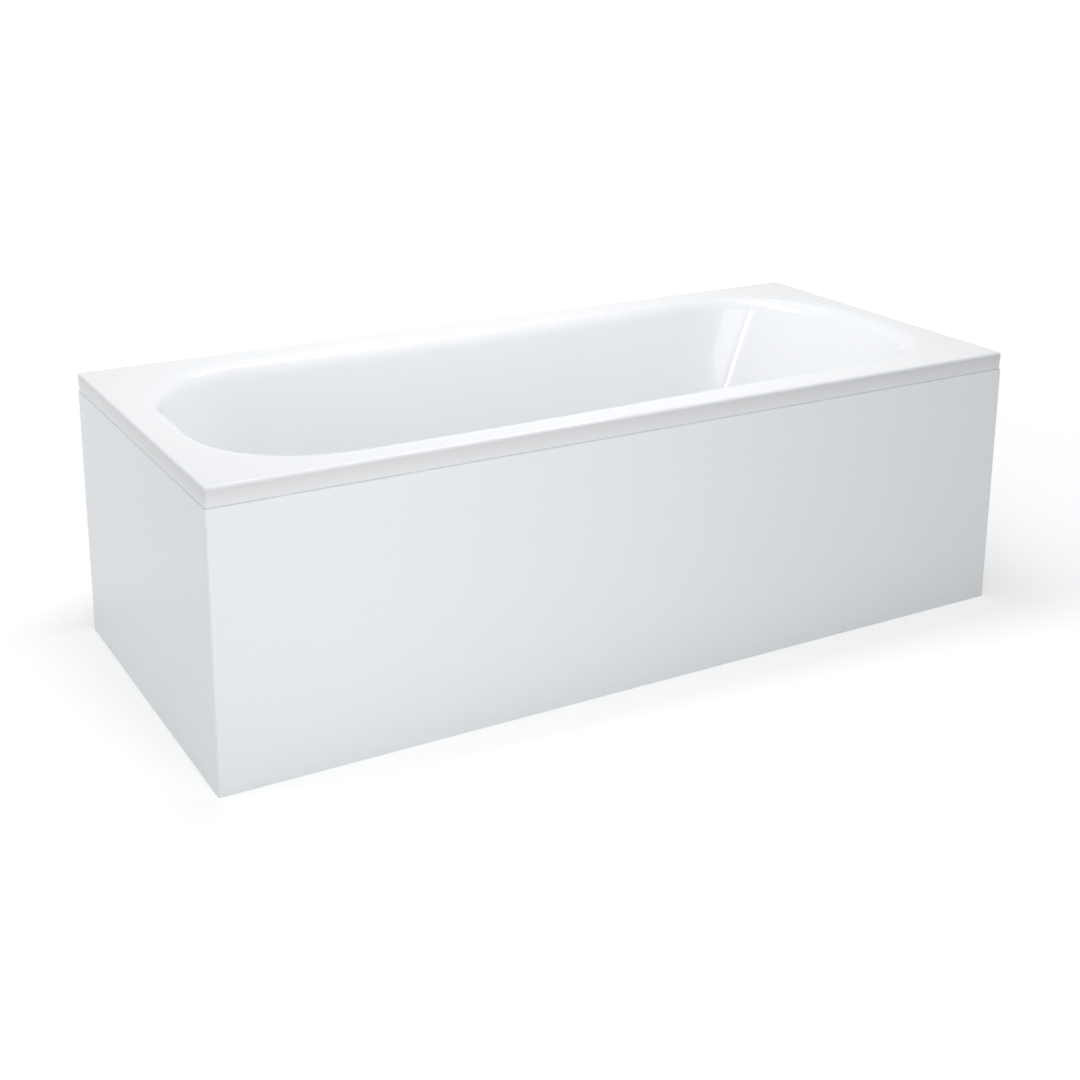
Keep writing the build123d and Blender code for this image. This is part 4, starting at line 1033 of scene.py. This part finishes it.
def makeStud(number):
    low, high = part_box(f"foot_stud_{number}")
    middle = (low + high) / 2
    placing = placedAt((middle.x, middle.y, 0))
    crest, pitch, bevel, steps = foot["stud"], foot["pitch"], foot["studBevel"], 24
    collarTop = foot["collarFrom"] + foot["collarHeight"]
    rings = [ring(crest * 0.8, low.z, steps), ring(crest, low.z + foot["studFoot"], steps)]

    def threaded(start, end):
        count = round((end - start) / pitch * 6)
        for i in range(count + 1):
            z = start + (end - start) * i / count
            fade = min(1, (z - start) / pitch, (end - z) / pitch)
            rings.append(ring(lambda angle: crest - fade * threadDepth(angle, z, pitch), z, steps))

    threaded(collarTop - foot["sunk"], barLow - foot["nutHeight"] + foot["clear"])
    threaded(barHigh + foot["nutHeight"] - foot["clear"], high.z - bevel)
    rings += [ring(crest, high.z - bevel, steps), ring(crest * 0.86, high.z, steps)]
    rod = stack("rod", rings, placing, closed=False, sharpAngle=50)
    collarPlacing = placedAt((middle.x, middle.y, foot["collarFrom"]))
    collar = nut(foot["collarFlats"], foot["collarHeight"], crest - foot["sunk"], collarPlacing)
    piece = joined(f"footStud{number}", [rod, collar])
    return dress(piece, f"foot_{number}", "zinc_steel", f"foot_stud_{number}")


def makePad(number):
    middle = middleOf(f"foot_pad_{number}")
    steps = foot["ribs"] * 12
    edge, wide, neck, sole = foot["padEdge"], foot["pad"], foot["neck"], foot["padSole"]
    ribFoot = wide - foot["ribInset"]

    # the ribs climb from the edge of the disc to the neck
    def ribbed(radius):
        share = (ribFoot - radius) / (ribFoot - neck)

        def rise(angle):
            wave = 0.5 + 0.5 * math.cos(foot["ribs"] * angle)
            on = min(1, max(0, (wave - 0.62) / 0.2))
            return foot["padHeight"] + foot["ribRise"] * max(0, share) * on

        return rise

    rings = [ring(neck, 0.0012, steps), ring(neck + 0.002, 0.0004, steps), ring(wide - 0.002, 0, steps)]
    for angle in quarter(3):
        rings.append(ring(wide - sole + sole * math.sin(angle), sole - sole * math.cos(angle), steps))
    rings += [ring(wide, foot["padHeight"] - edge, steps), ring(wide - edge, foot["padHeight"], steps)]
    for share in (0, 0.05, 0.3, 0.6, 0.9, 1):
        radius = ribFoot - (ribFoot - neck) * share
        rings.append(ring(radius, ribbed(radius), steps))
    top, soft, mouth = foot["neckTop"], 0.0009, 0.0006  # how its outer edge and its socket are eased
    socket = foot["stud"] + 0.00005
    rings += [ring(neck, top - soft, steps), ring(neck - soft, top, steps),
              ring(socket + mouth, top, steps), ring(socket, top - mouth, steps),
              ring(socket, foot["socketFloor"], steps)]
    placing = placedAt((middle.x, middle.y, 0))
    piece = stack(f"footPad{number}", rings, placing, closed=False, sharpAngle=40)
    return dress(piece, f"foot_{number}", "black_plastic", f"foot_pad_{number}")


def makeNuts(name, height, node):
    nuts = []
    for number in range(1, 7):
        middle = middleOf(f"foot_stud_{number}")
        placing = placedAt((middle.x, middle.y, height))
        nuts.append(nut(foot["nutFlats"], foot["nutHeight"], foot["stud"] + foot["slack"], placing))
    return dress(joined(name, nuts), "bath", "zinc_steel", node)


for number in range(1, 7):
    makeStud(number)
    makePad(number)
makeNuts("footLockNuts", barLow - foot["nutHeight"], "foot_lock_nuts")
makeNuts("footWeldNuts", barHigh, "foot_weld_nuts")
print("feet made")

# Waste, trap and overflow: the round pieces are turned here with their softened edges
trap = {
    "radius": 0.046,
    "wall": 0.003,
    "floor": 0.006,
    "cupTop": 0.034,
    "cupEdge": 0.006,
    "hollow": 0.012,  # the shallow hollow underneath
    "hollowEdge": 0.0015,
    "hollowDepth": 0.0012,
    "nutWall": 0.0041,
    "nutHeight": 0.016,
    "nutRibs": 12,
    "ribDepth": 0.0015,
}
union = {"wall": 0.0045, "height": 0.020, "nose": 0.004, "ribs": 8, "ribDepth": 0.0015}
wasteX, wasteY = wasteCentre.x, wasteCentre.y
wasteAxis = placedAt((wasteX, wasteY, 0))
play = 0.0001  # between pieces that fit in each other
pole = 0.0004  # how near its axis the section of a closed turned piece begins or ends


# Points of a rounded corner of a section, from one direction to the next, in degrees
def sectionBend(centreR, centreZ, radius, start, end, steps=6):
    spots = []
    for step in range(steps + 1):
        angle = math.radians(start + (end - start) * step / steps)
        spots.append((centreR + radius * math.cos(angle), centreZ + radius * math.sin(angle)))
    return spots


def makeTrapCup():
    outer, edge, low, top = trap["radius"], trap["cupEdge"], trap["floor"], trap["cupTop"]
    inner, wall = outer - trap["wall"], trap["wall"]
    hollow, rise = trap["hollow"], trap["hollowDepth"]
    section = [(pole, low + rise), (hollow, low + rise), (hollow + trap["hollowEdge"], low)]
    section += sectionBend(outer - edge, low + edge, edge, -90, 0)
    section += [(outer, top), (inner, top)]
    section += sectionBend(inner - edge + wall, low + edge, edge - wall, 0, -90)
    section += [(pole, low + wall)]
    piece = turned("trapCup", section, wasteAxis, 96, closed=False)
    return dress(piece, "bath", "white_plastic", "trap_cup")


# The section of a ring nut from its lower face up, outside first, then back down its bore
def nutSection(bore, wall, height, nose, noseBore):
    outside, soft, mouth = bore + wall, 0.0012, 0.0008
    nip, lift = 0.0003, 0.0004  # the corner between the two slopes of its edge
    section = [(outside - soft, 0, False), (outside - nip, lift, False), (outside, soft, False)]
    for share in (0.05, 0.13, 0.5, 0.87, 0.95):
        section.append((outside, soft + (height - 2 * soft) * share, 0.1 < share < 0.9))
    section += [(outside, height - soft, False), (outside - nip, height - lift, False),
                (outside - soft, height, False)]
    if nose:
        section += [(noseBore + mouth, height, False), (noseBore, height - mouth, False),
                    (noseBore, height - nose, False)]
    else:
        section.append((bore, height, False))
    return section + [(bore, height - nose - play, False), (bore, 0, False)]


def makeTrapNut():
    section = nutSection(trap["radius"] + play, trap["nutWall"] - play, trap["nutHeight"], 0, 0)
    placing = placedAt((wasteX, wasteY, trap["cupTop"] - trap["nutHeight"] / 2))
    piece = ribbedRing(section, trap["nutRibs"], trap["ribDepth"], 0.42, 0, trap["nutHeight"], placing)
    piece.name = "trapRingNut"
    return dress(piece, "bath", "grey_plastic", "trap_ring_nut")


# A union nut whose nose points along an axis, closing on a pipe
def unionNut(pipe, socketWall, placing):
    bore = pipe + play + socketWall + play
    section = nutSection(bore, union["wall"] - play, union["height"], union["nose"], pipe + play)
    return ribbedRing(section, union["ribs"], union["ribDepth"], 0.36, 0, union["height"], placing)


pipes = {"outlet": 0.020, "overflow": 0.016, "socketWall": 0.0034}


def makeUnionNuts():
    low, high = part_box("outlet_nut")
    middle = (low + high) / 2
    placing = placedAt((middle.x, low.y, middle.z), (0, 1, 0))
    piece = unionNut(pipes["outlet"], pipes["socketWall"], placing)
    piece.name = "outletNut"
    dress(piece, "bath", "grey_plastic", "outlet_nut")

    # the two overflow nuts: one looks down at the top of the pipe, one looks along at its foot
    low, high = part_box("overflow_nuts")
    pipeLow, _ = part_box("overflow_pipe")
    downX = pipeLow.x + pipes["overflow"]
    runZ = pipeLow.z + pipes["overflow"]
    nuts = [unionNut(pipes["overflow"], pipes["socketWall"], placedAt((downX, wasteY, high.z), (0, 0, -1))),
            unionNut(pipes["overflow"], pipes["socketWall"], placedAt((high.x, wasteY, runZ), (-1, 0, 0)))]
    dress(joined("overflowNuts", nuts), "bath", "grey_plastic", "overflow_nuts")


def gasketSection(inner, outer, low, high):
    bulge = (high - low) / 2
    middle = (high + low) / 2
    section = sectionBend(outer - bulge, middle, bulge, -90, 90)
    return section + [(inner, high), (inner, low)]


def makeLowerGasket():
    low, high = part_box("waste_lower_gasket")
    section = gasketSection(waste["hole"], (high.x - low.x) / 2, low.z, high.z)
    piece = turned("wasteLowerGasket", section, wasteAxis)
    return dress(piece, "bath", "gasket_rubber", "waste_lower_gasket")


# Chrome pieces in the basin
flange = {"radius": 0.035, "thickness": 0.003, "dish": 0.030, "dishDepth": 0.004, "bore": 0.020,
          "tube": 0.023, "tubeLength": 0.025, "bevel": 0.001}
cap = {"radius": 0.031, "edge": 0.0015, "crown": 0.0008, "boss": 0.018, "bossDepth": 0.004}


def makeFlange():
    seat = floorZ - flange["thickness"]
    bevel = flange["bevel"]
    section = [(flange["bore"], seat - flange["tubeLength"]), (flange["tube"], seat - flange["tubeLength"]),
               (flange["tube"], seat), (flange["radius"], seat)]
    section += sectionBend(flange["radius"] - bevel, floorZ - bevel, bevel, 0, 90)
    section += [(flange["dish"] + 0.0008, floorZ), (flange["dish"], floorZ - 0.00015),
                (flange["dish"] - 0.0008, floorZ - 0.0006)]
    section += [(flange["bore"] + 0.0008, floorZ - flange["dishDepth"] + 0.0001),
                (flange["bore"] + 0.0002, floorZ - flange["dishDepth"] - 0.0003),
                (flange["bore"], floorZ - flange["dishDepth"] - 0.001)]
    piece = turned("wasteFlange", section, wasteAxis, 96)
    return dress(piece, "bath", "chrome", "waste_flange")


def makePlugCap():
    low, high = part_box("plug_cap")
    under = low.z + cap["bossDepth"]
    edge, radius, boss = cap["edge"], cap["radius"], cap["boss"]
    section = [(pole, low.z), (boss - 0.0005, low.z), (boss, low.z + 0.0005), (boss, under),
               (radius - 0.0008, under), (radius, under + 0.0008)]
    section += sectionBend(radius - edge, high.z - cap["crown"] - edge, edge, 0, 82)
    for share in (0.9, 0.8, 0.65, 0.5, 0.35, 0.2, 0.1, 0.02):
        section.append(((radius - edge) * share, high.z - cap["crown"] * share ** 2))
    piece = turned("plugCap", section, wasteAxis, 96, closed=False)
    return dress(piece, "plug", "chrome", "plug_cap")


overflow = {"radius": 0.037, "depth": 0.013, "wall": 0.002, "edge": 0.004, "gap": 0.001, "crown": 0.0007,
            "notchWidth": 0.044, "notchReach": 0.015, "notchDepth": 0.007}


# A placing on the inner face of the foot wall: z looks into the basin and y runs down the wall
def overflowPlacing():
    centre = middleOf("overflow_screw")
    tilt = math.radians(tub["leans"]["foot"])
    into = Vector((math.cos(tilt), 0, math.sin(tilt)))
    down = Vector((math.sin(tilt), 0, -math.cos(tilt)))
    footX = -halfLength + tub["margins"]["foot"] + (rimZ - centre.z) * math.tan(tilt)
    wallPoint = centre + into * ((footX - centre.x) * math.cos(tilt))
    turn = Matrix((down.cross(into), down, into)).transposed().to_4x4()
    return Matrix.Translation(wallPoint) @ turn


def makeOverflowCover():
    gap, deep, edge, wall = (overflow[k] for k in ("gap", "depth", "edge", "wall"))
    radius, face, inner = overflow["radius"], gap + deep, overflow["radius"] - wall
    section = [(pole, face - wall), (inner - edge, face - wall - 0.0006),
               (inner, face - wall - edge), (inner, gap)]
    section += [(radius - 0.0005, gap), (radius, gap + 0.0005)]
    section += sectionBend(radius - edge, face - edge - overflow["crown"], edge, 0, 84, 8)
    for share in (0.88, 0.7, 0.5, 0.3, 0.15, 0.02):
        section.append(((radius - edge) * share, face - overflow["crown"] * share ** 2))
    placing = overflowPlacing()
    cover = turned("overflowCover", section, placing, 96, closed=False)
    half, reach = overflow["notchWidth"] / 2, overflow["notchReach"]
    notch = [squareRing(2 * half, 0.005, z) for z in (-0.01, gap + overflow["notchDepth"])]
    shift = placing @ Matrix.Translation((0, radius - reach + half, 0))
    carve(cover, [stack("notch", notch, shift, closed=False)])
    return dress(cover, "bath", "chrome", "overflow_cover")


makeTrapCup()
makeTrapNut()
makeUnionNuts()
makeLowerGasket()
makeFlange()
makePlugCap()
makeOverflowCover()
print("waste and overflow made")

# Sheet-metal clips: bent from strip, each in a plane across the wall or the apron
apron = {"face": 0.0008, "thickness": 0.004, "gap": 0.0015}
clip = {
    "sheet": 0.0012,
    "width": 0.040,
    "legFrom": 0.0193,
    "leafFrom": 0.006,
    "leafGap": 0.0005,
    "flare": 0.0009,
    "flareLength": 0.0025,
    "flareBend": 0.003,
    "tab": 0.019,
    "bend": 0.0016,
    "front": 4,
    "end": 2,
    "base": 0.036,
    "floorHole": 0.00225,
    "screwInset": 0.0322,
    "screwShank": 0.0016,
    "screwHead": 0.0035,
    "screwHeadHeight": 0.002,
    "screwLength": 0.006,
}
throughSheet = 0.004  # how far a cutter reaches, to come out at the other side of a sheet
frontFace = apron["face"] - halfWidth
footFace = apron["face"] - halfLength


# Places spread evenly along a length, the outer ones half a step from its ends
def spread(count, length):
    return [length / count * (index + 0.5) - length / 2 for index in range(count)]


# Each clip's place at the foot of the apron, and the way from the apron into the bath
clipPlaces = [(Vector((x, frontFace, 0)), Vector((0, 1, 0))) for x in spread(clip["front"], 2 * halfLength)]
clipPlaces += [(Vector((footFace, y, 0)), Vector((1, 0, 0))) for y in spread(clip["end"], 2 * halfWidth)]


def makeTopClips():
    sheet, half = clip["sheet"], clip["sheet"] / 2
    railUnder = rimRails[0][0].z
    panelTop = rimZ - tub["lipDepth"] - apron["gap"]
    leg = clip["legFrom"] + half
    lowLeaf = panelTop - apron["thickness"] - clip["leafGap"] - half
    highLeaf = panelTop + clip["leafGap"] + half
    tip, flare, bend = clip["leafFrom"], clip["flare"], clip["bend"]
    soft, softBend = tip + clip["flareLength"], clip["flareBend"]
    clips = []
    for place, inwards in clipPlaces:
        placing = acrossWall(place, inwards)
        long = [(tip, lowLeaf - flare), (soft, lowLeaf, softBend), (leg, lowLeaf, bend),
                (leg, railUnder - half, bend), (clip["legFrom"] + clip["tab"], railUnder - half)]
        short = [(tip, highLeaf + flare), (soft, highLeaf, softBend), (clip["legFrom"], highLeaf)]
        strip = bentSheet("strip", long, sheet, clip["width"], placing)
        spot = place + inwards * clip["screwInset"] + Vector((0, 0, railUnder))
        carve(strip, [drill(clip["screwShank"] + play, throughSheet, placedAt(spot))])
        clips += [strip, bentSheet("leaf", short, sheet, clip["width"] * 0.7, placing)]
    return dress(joined("panelTopClips", clips), "bath", "spring_steel", "panel_top_clips")


def makeClipScrews():
    railUnder = rimRails[0][0].z - clip["sheet"]
    screws = []
    for place, inwards in clipPlaces:
        spot = place + inwards * clip["screwInset"] + Vector((0, 0, railUnder))
        screws.append(screw(clip["screwHead"], clip["screwHeadHeight"], clip["screwShank"],
                            clip["screwLength"], placedAt(spot, (0, 0, -1))))
    return dress(joined("panelClipScrews", screws), "bath", "zinc_steel", "panel_clip_screws")


def makeFloorClips():
    sheet, half = clip["sheet"], clip["sheet"] / 2
    leg = clip["legFrom"] + half
    leaf = apron["thickness"] + clip["leafGap"] + half
    tip, flare, bend = clip["leafFrom"], clip["flare"], clip["bend"]
    soft, softBend = tip + clip["flareLength"], clip["flareBend"]
    baseEnd = clip["legFrom"] + sheet + clip["base"]
    hole = clip["legFrom"] + sheet + clip["base"] / 2
    clips = []
    for place, inwards in clipPlaces:
        line = [(tip, leaf + flare), (soft, leaf, softBend), (leg, leaf, bend),
                (leg, half, bend), (baseEnd, half)]
        strip = bentSheet("strip", line, sheet, clip["width"], acrossWall(place, inwards))
        placing = placedAt(place + inwards * hole)
        clips.append(carve(strip, [drill(clip["floorHole"], throughSheet, placing)]))
    return dress(joined("panelFloorClips", clips), "bath", "spring_steel", "panel_floor_clips")


hanger = {"sheet": 0.002, "width": 0.060, "drop": 0.054, "gap": 0.0006, "rise": 0.016, "bend": 0.002,
          "hole": 0.00275, "spacing": 0.036, "holeDrop": 0.032, "corner": 0.008}


def makeHangers():
    lip = rimZ - tub["lipDepth"]
    half = hanger["sheet"] / 2
    tabX = tub["shell"] + hanger["gap"] + half
    places = [(Vector((x, halfWidth, lip)), Vector((0, -1, 0))) for x in spread(2, 2 * halfLength)]
    places.append((Vector((halfLength, 0, lip)), Vector((-1, 0, 0))))
    hangers = []
    for place, inwards in places:
        placing = acrossWall(place, inwards)
        line = [(half, -hanger["drop"]), (half, -half, hanger["bend"]), (tabX, -half, hanger["bend"]),
                (tabX, hanger["rise"])]
        plate = bentSheet("plate", line, hanger["sheet"], hanger["width"], placing)
        cutters = []
        for side in (-1, 1):
            along = inwards.cross(Vector((0, 0, 1))) * side
            spot = place + along * hanger["spacing"] / 2 - Vector((0, 0, hanger["holeDrop"]))
            cutters.append(drill(hanger["hole"], throughSheet, placedAt(spot, inwards)))
            corner = place + along * hanger["width"] / 2 - Vector((0, 0, hanger["drop"]))
            cutters.append(cornerCutter(corner, along, inwards))
        hangers.append(carve(plate, cutters))
    return dress(joined("wallHangers", hangers), "bath", "spring_steel", "wall_hangers")


# What a rounded lower corner of a plate leaves over, as a block to cut with
def cornerCutter(corner, along, inwards):
    radius, over = hanger["corner"], 0.002
    up = Vector((0, 0, 1))
    outline = [corner + along * over - up * over, corner + along * over + up * radius]
    for step in range(9):
        angle = math.radians(90 * step / 8)
        outline.append(corner - along * radius * (1 - math.cos(angle)) + up * radius * (1 - math.sin(angle)))
    outline.append(corner - along * radius - up * over)
    rings = [[point + inwards * depth for point in outline] for depth in (-0.001, throughSheet)]
    return stack("corner", rings, closed=False)


makeTopClips()
makeClipScrews()
makeFloorClips()
makeHangers()
print("clips and hangers made")


# Every CAD piece that shows as it is takes the finish of its slot
def dressNodes():
    for name, node in frame["nodes"].items():
        coat(node, "panel" if name == "l_panel" else slotOfNode[name])


dressNodes()

# Stage: a pale floor that keeps the shadow, a white surround and soft lamps
studio = {
    "floorReach": 30,
    "floorColour": (0.865, 0.86, 0.852),
    "glowNear": (0.375, 0.370, 0.365),  # the floor's own white under the object, and far from it
    "glowFar": (0.68, 0.67, 0.66),
    "glowRadius": 2.1,
    "fill": (0.405, 0.419, 0.437),  # what the surround sheds on the object
    "zenith": 0.72,  # how white the surround is overhead
}


def makeFloor():
    reach = studio["floorReach"]
    square = [(-reach, -reach, 0), (reach, -reach, 0), (reach, reach, 0), (-reach, reach, 0)]
    floor = meshPiece("studioFloor", square, [(0, 1, 2, 3)])
    colour = tone(*studio["floorColour"])
    paint = Finish("paleFloor", Base_Color=colour, Roughness=0.9, Specular_IOR_Level=0.1)
    away = paint.add("ShaderNodeVectorMath", {"operation": "LENGTH"}, {0: paint.here}, 1)
    near = 1 / (1 + (away / studio["glowRadius"]) ** 4)
    glow = paint.mix(near, tone(*studio["glowFar"]), tone(*studio["glowNear"]))
    paper = paint.add("ShaderNodeEmission", {}, {"Color": glow})
    plain = Flow(paint, paint.shader.outputs[0])
    lit = paint.add("ShaderNodeAddShader", {}, {0: plain, 1: paper})
    shown = paint.add("ShaderNodeMixShader", {}, {0: surroundSeen(paint), 1: plain, 2: lit})
    paint.feed(paint.tree.nodes["Material Output"].inputs["Surface"], shown)
    floor.data.materials.append(paint.material)


# One where the camera, or something glossy or clear, looks at the surround
def surroundSeen(paint):
    def ray(kind):
        return paint.add("ShaderNodeLightPath", {}, {}, kind)

    return ray("Is Camera Ray").most(ray("Is Glossy Ray")).most(ray("Is Transmission Ray"))


def makeSurround():
    world = bpy.data.worlds.new("studio")
    bpy.context.scene.world = world
    world.use_nodes = True
    paint = Finish.__new__(Finish)
    paint.tree = world.node_tree
    ground = paint.tree.nodes["Background"]
    paint.feed(ground.inputs["Color"], tone(*studio["fill"]))
    paint.here = paint.add("ShaderNodeTexCoord", {}, {}, "Generated")
    height = paint.add("ShaderNodeSeparateXYZ", {}, {0: paint.here}, 2)
    paper = paint.ramp(height, (0.35, 1), (0.95, studio["zenith"]))
    white = paint.add("ShaderNodeBackground", {}, {"Color": paper})
    plain = Flow(paint, ground.outputs[0])
    shown = paint.add("ShaderNodeMixShader", {}, {0: surroundSeen(paint), 1: plain, 2: white})
    paint.feed(paint.tree.nodes["World Output"].inputs["Surface"], shown)


lamps = {
    "overBath": {"at": (0.0, 0.05, 1.9), "aim": (0.0, 0.05, 0.4), "size": (1.5, 0.5), "power": 12.8},
    "overBack": {"at": (0.6, 1.4, 3.0), "aim": (0.2, 0, 0.4), "size": (2.6, 0.9), "power": 5.0},
    "left": {"at": (-3.0, 0.6, 1.4), "aim": (-0.4, 0, 0.4), "size": (1.2, 1.2), "power": 12.4},
    "lowLeft": {"at": (-0.9, -1.7, 0.6), "aim": (-0.4, -0.375, 0.25), "size": (0.6, 0.8), "power": 4.2},
    "front": {"at": (-0.1, -2.8, 1.3), "aim": (-0.1, 0, 0.3), "size": (1.2, 1.2), "power": 8.7},
    "strip": {"at": (-0.92, -2.25, 1.73), "aim": (0.2, 0, 0.4), "size": (0.18, 0.9), "power": 3.6},
}


def makeLamps():
    for name, lamp in lamps.items():
        light = bpy.data.lights.new(name, "AREA")
        light.shape = "RECTANGLE"
        light.size, light.size_y = lamp["size"]
        light.energy = lamp["power"]
        holder = bpy.data.objects.new(name, light)
        holder.location = lamp["at"]
        toAim = Vector(lamp["aim"]) - Vector(lamp["at"])
        holder.rotation_euler = toAim.to_track_quat("-Z", "Y").to_euler()
        holder.visible_camera = False
        bpy.context.scene.collection.objects.link(holder)


# The camera stands where the photograph was taken from, fitted to the corners of the bath
camera = {"at": (-1.603, -2.726, 1.416), "azimuth": -29.98, "dip": 15.06, "roll": 0.39,
          "lens": 54.8, "shiftY": -0.176}


def makeCamera():
    lens = bpy.data.cameras.new("camera")
    lens.sensor_width = 36
    lens.lens = camera["lens"]
    lens.shift_y = camera["shiftY"]
    holder = bpy.data.objects.new("camera", lens)
    dip, azimuth, roll = (math.radians(camera[k]) for k in ("dip", "azimuth", "roll"))
    look = Vector((-math.sin(azimuth) * math.cos(dip), math.cos(azimuth) * math.cos(dip), -math.sin(dip)))
    level = Vector((math.cos(azimuth), math.sin(azimuth), 0))
    up = level.cross(look)
    right = math.cos(roll) * level + math.sin(roll) * up
    top = math.cos(roll) * up - math.sin(roll) * level
    turn = Matrix((right, top, -look)).transposed().to_4x4()
    holder.matrix_world = Matrix.Translation(camera["at"]) @ turn
    bpy.context.scene.collection.objects.link(holder)
    bpy.context.scene.camera = holder


makeFloor()
makeSurround()
makeLamps()
makeCamera()
bpy.context.scene.view_settings.view_transform = "Standard"
print("stage set")
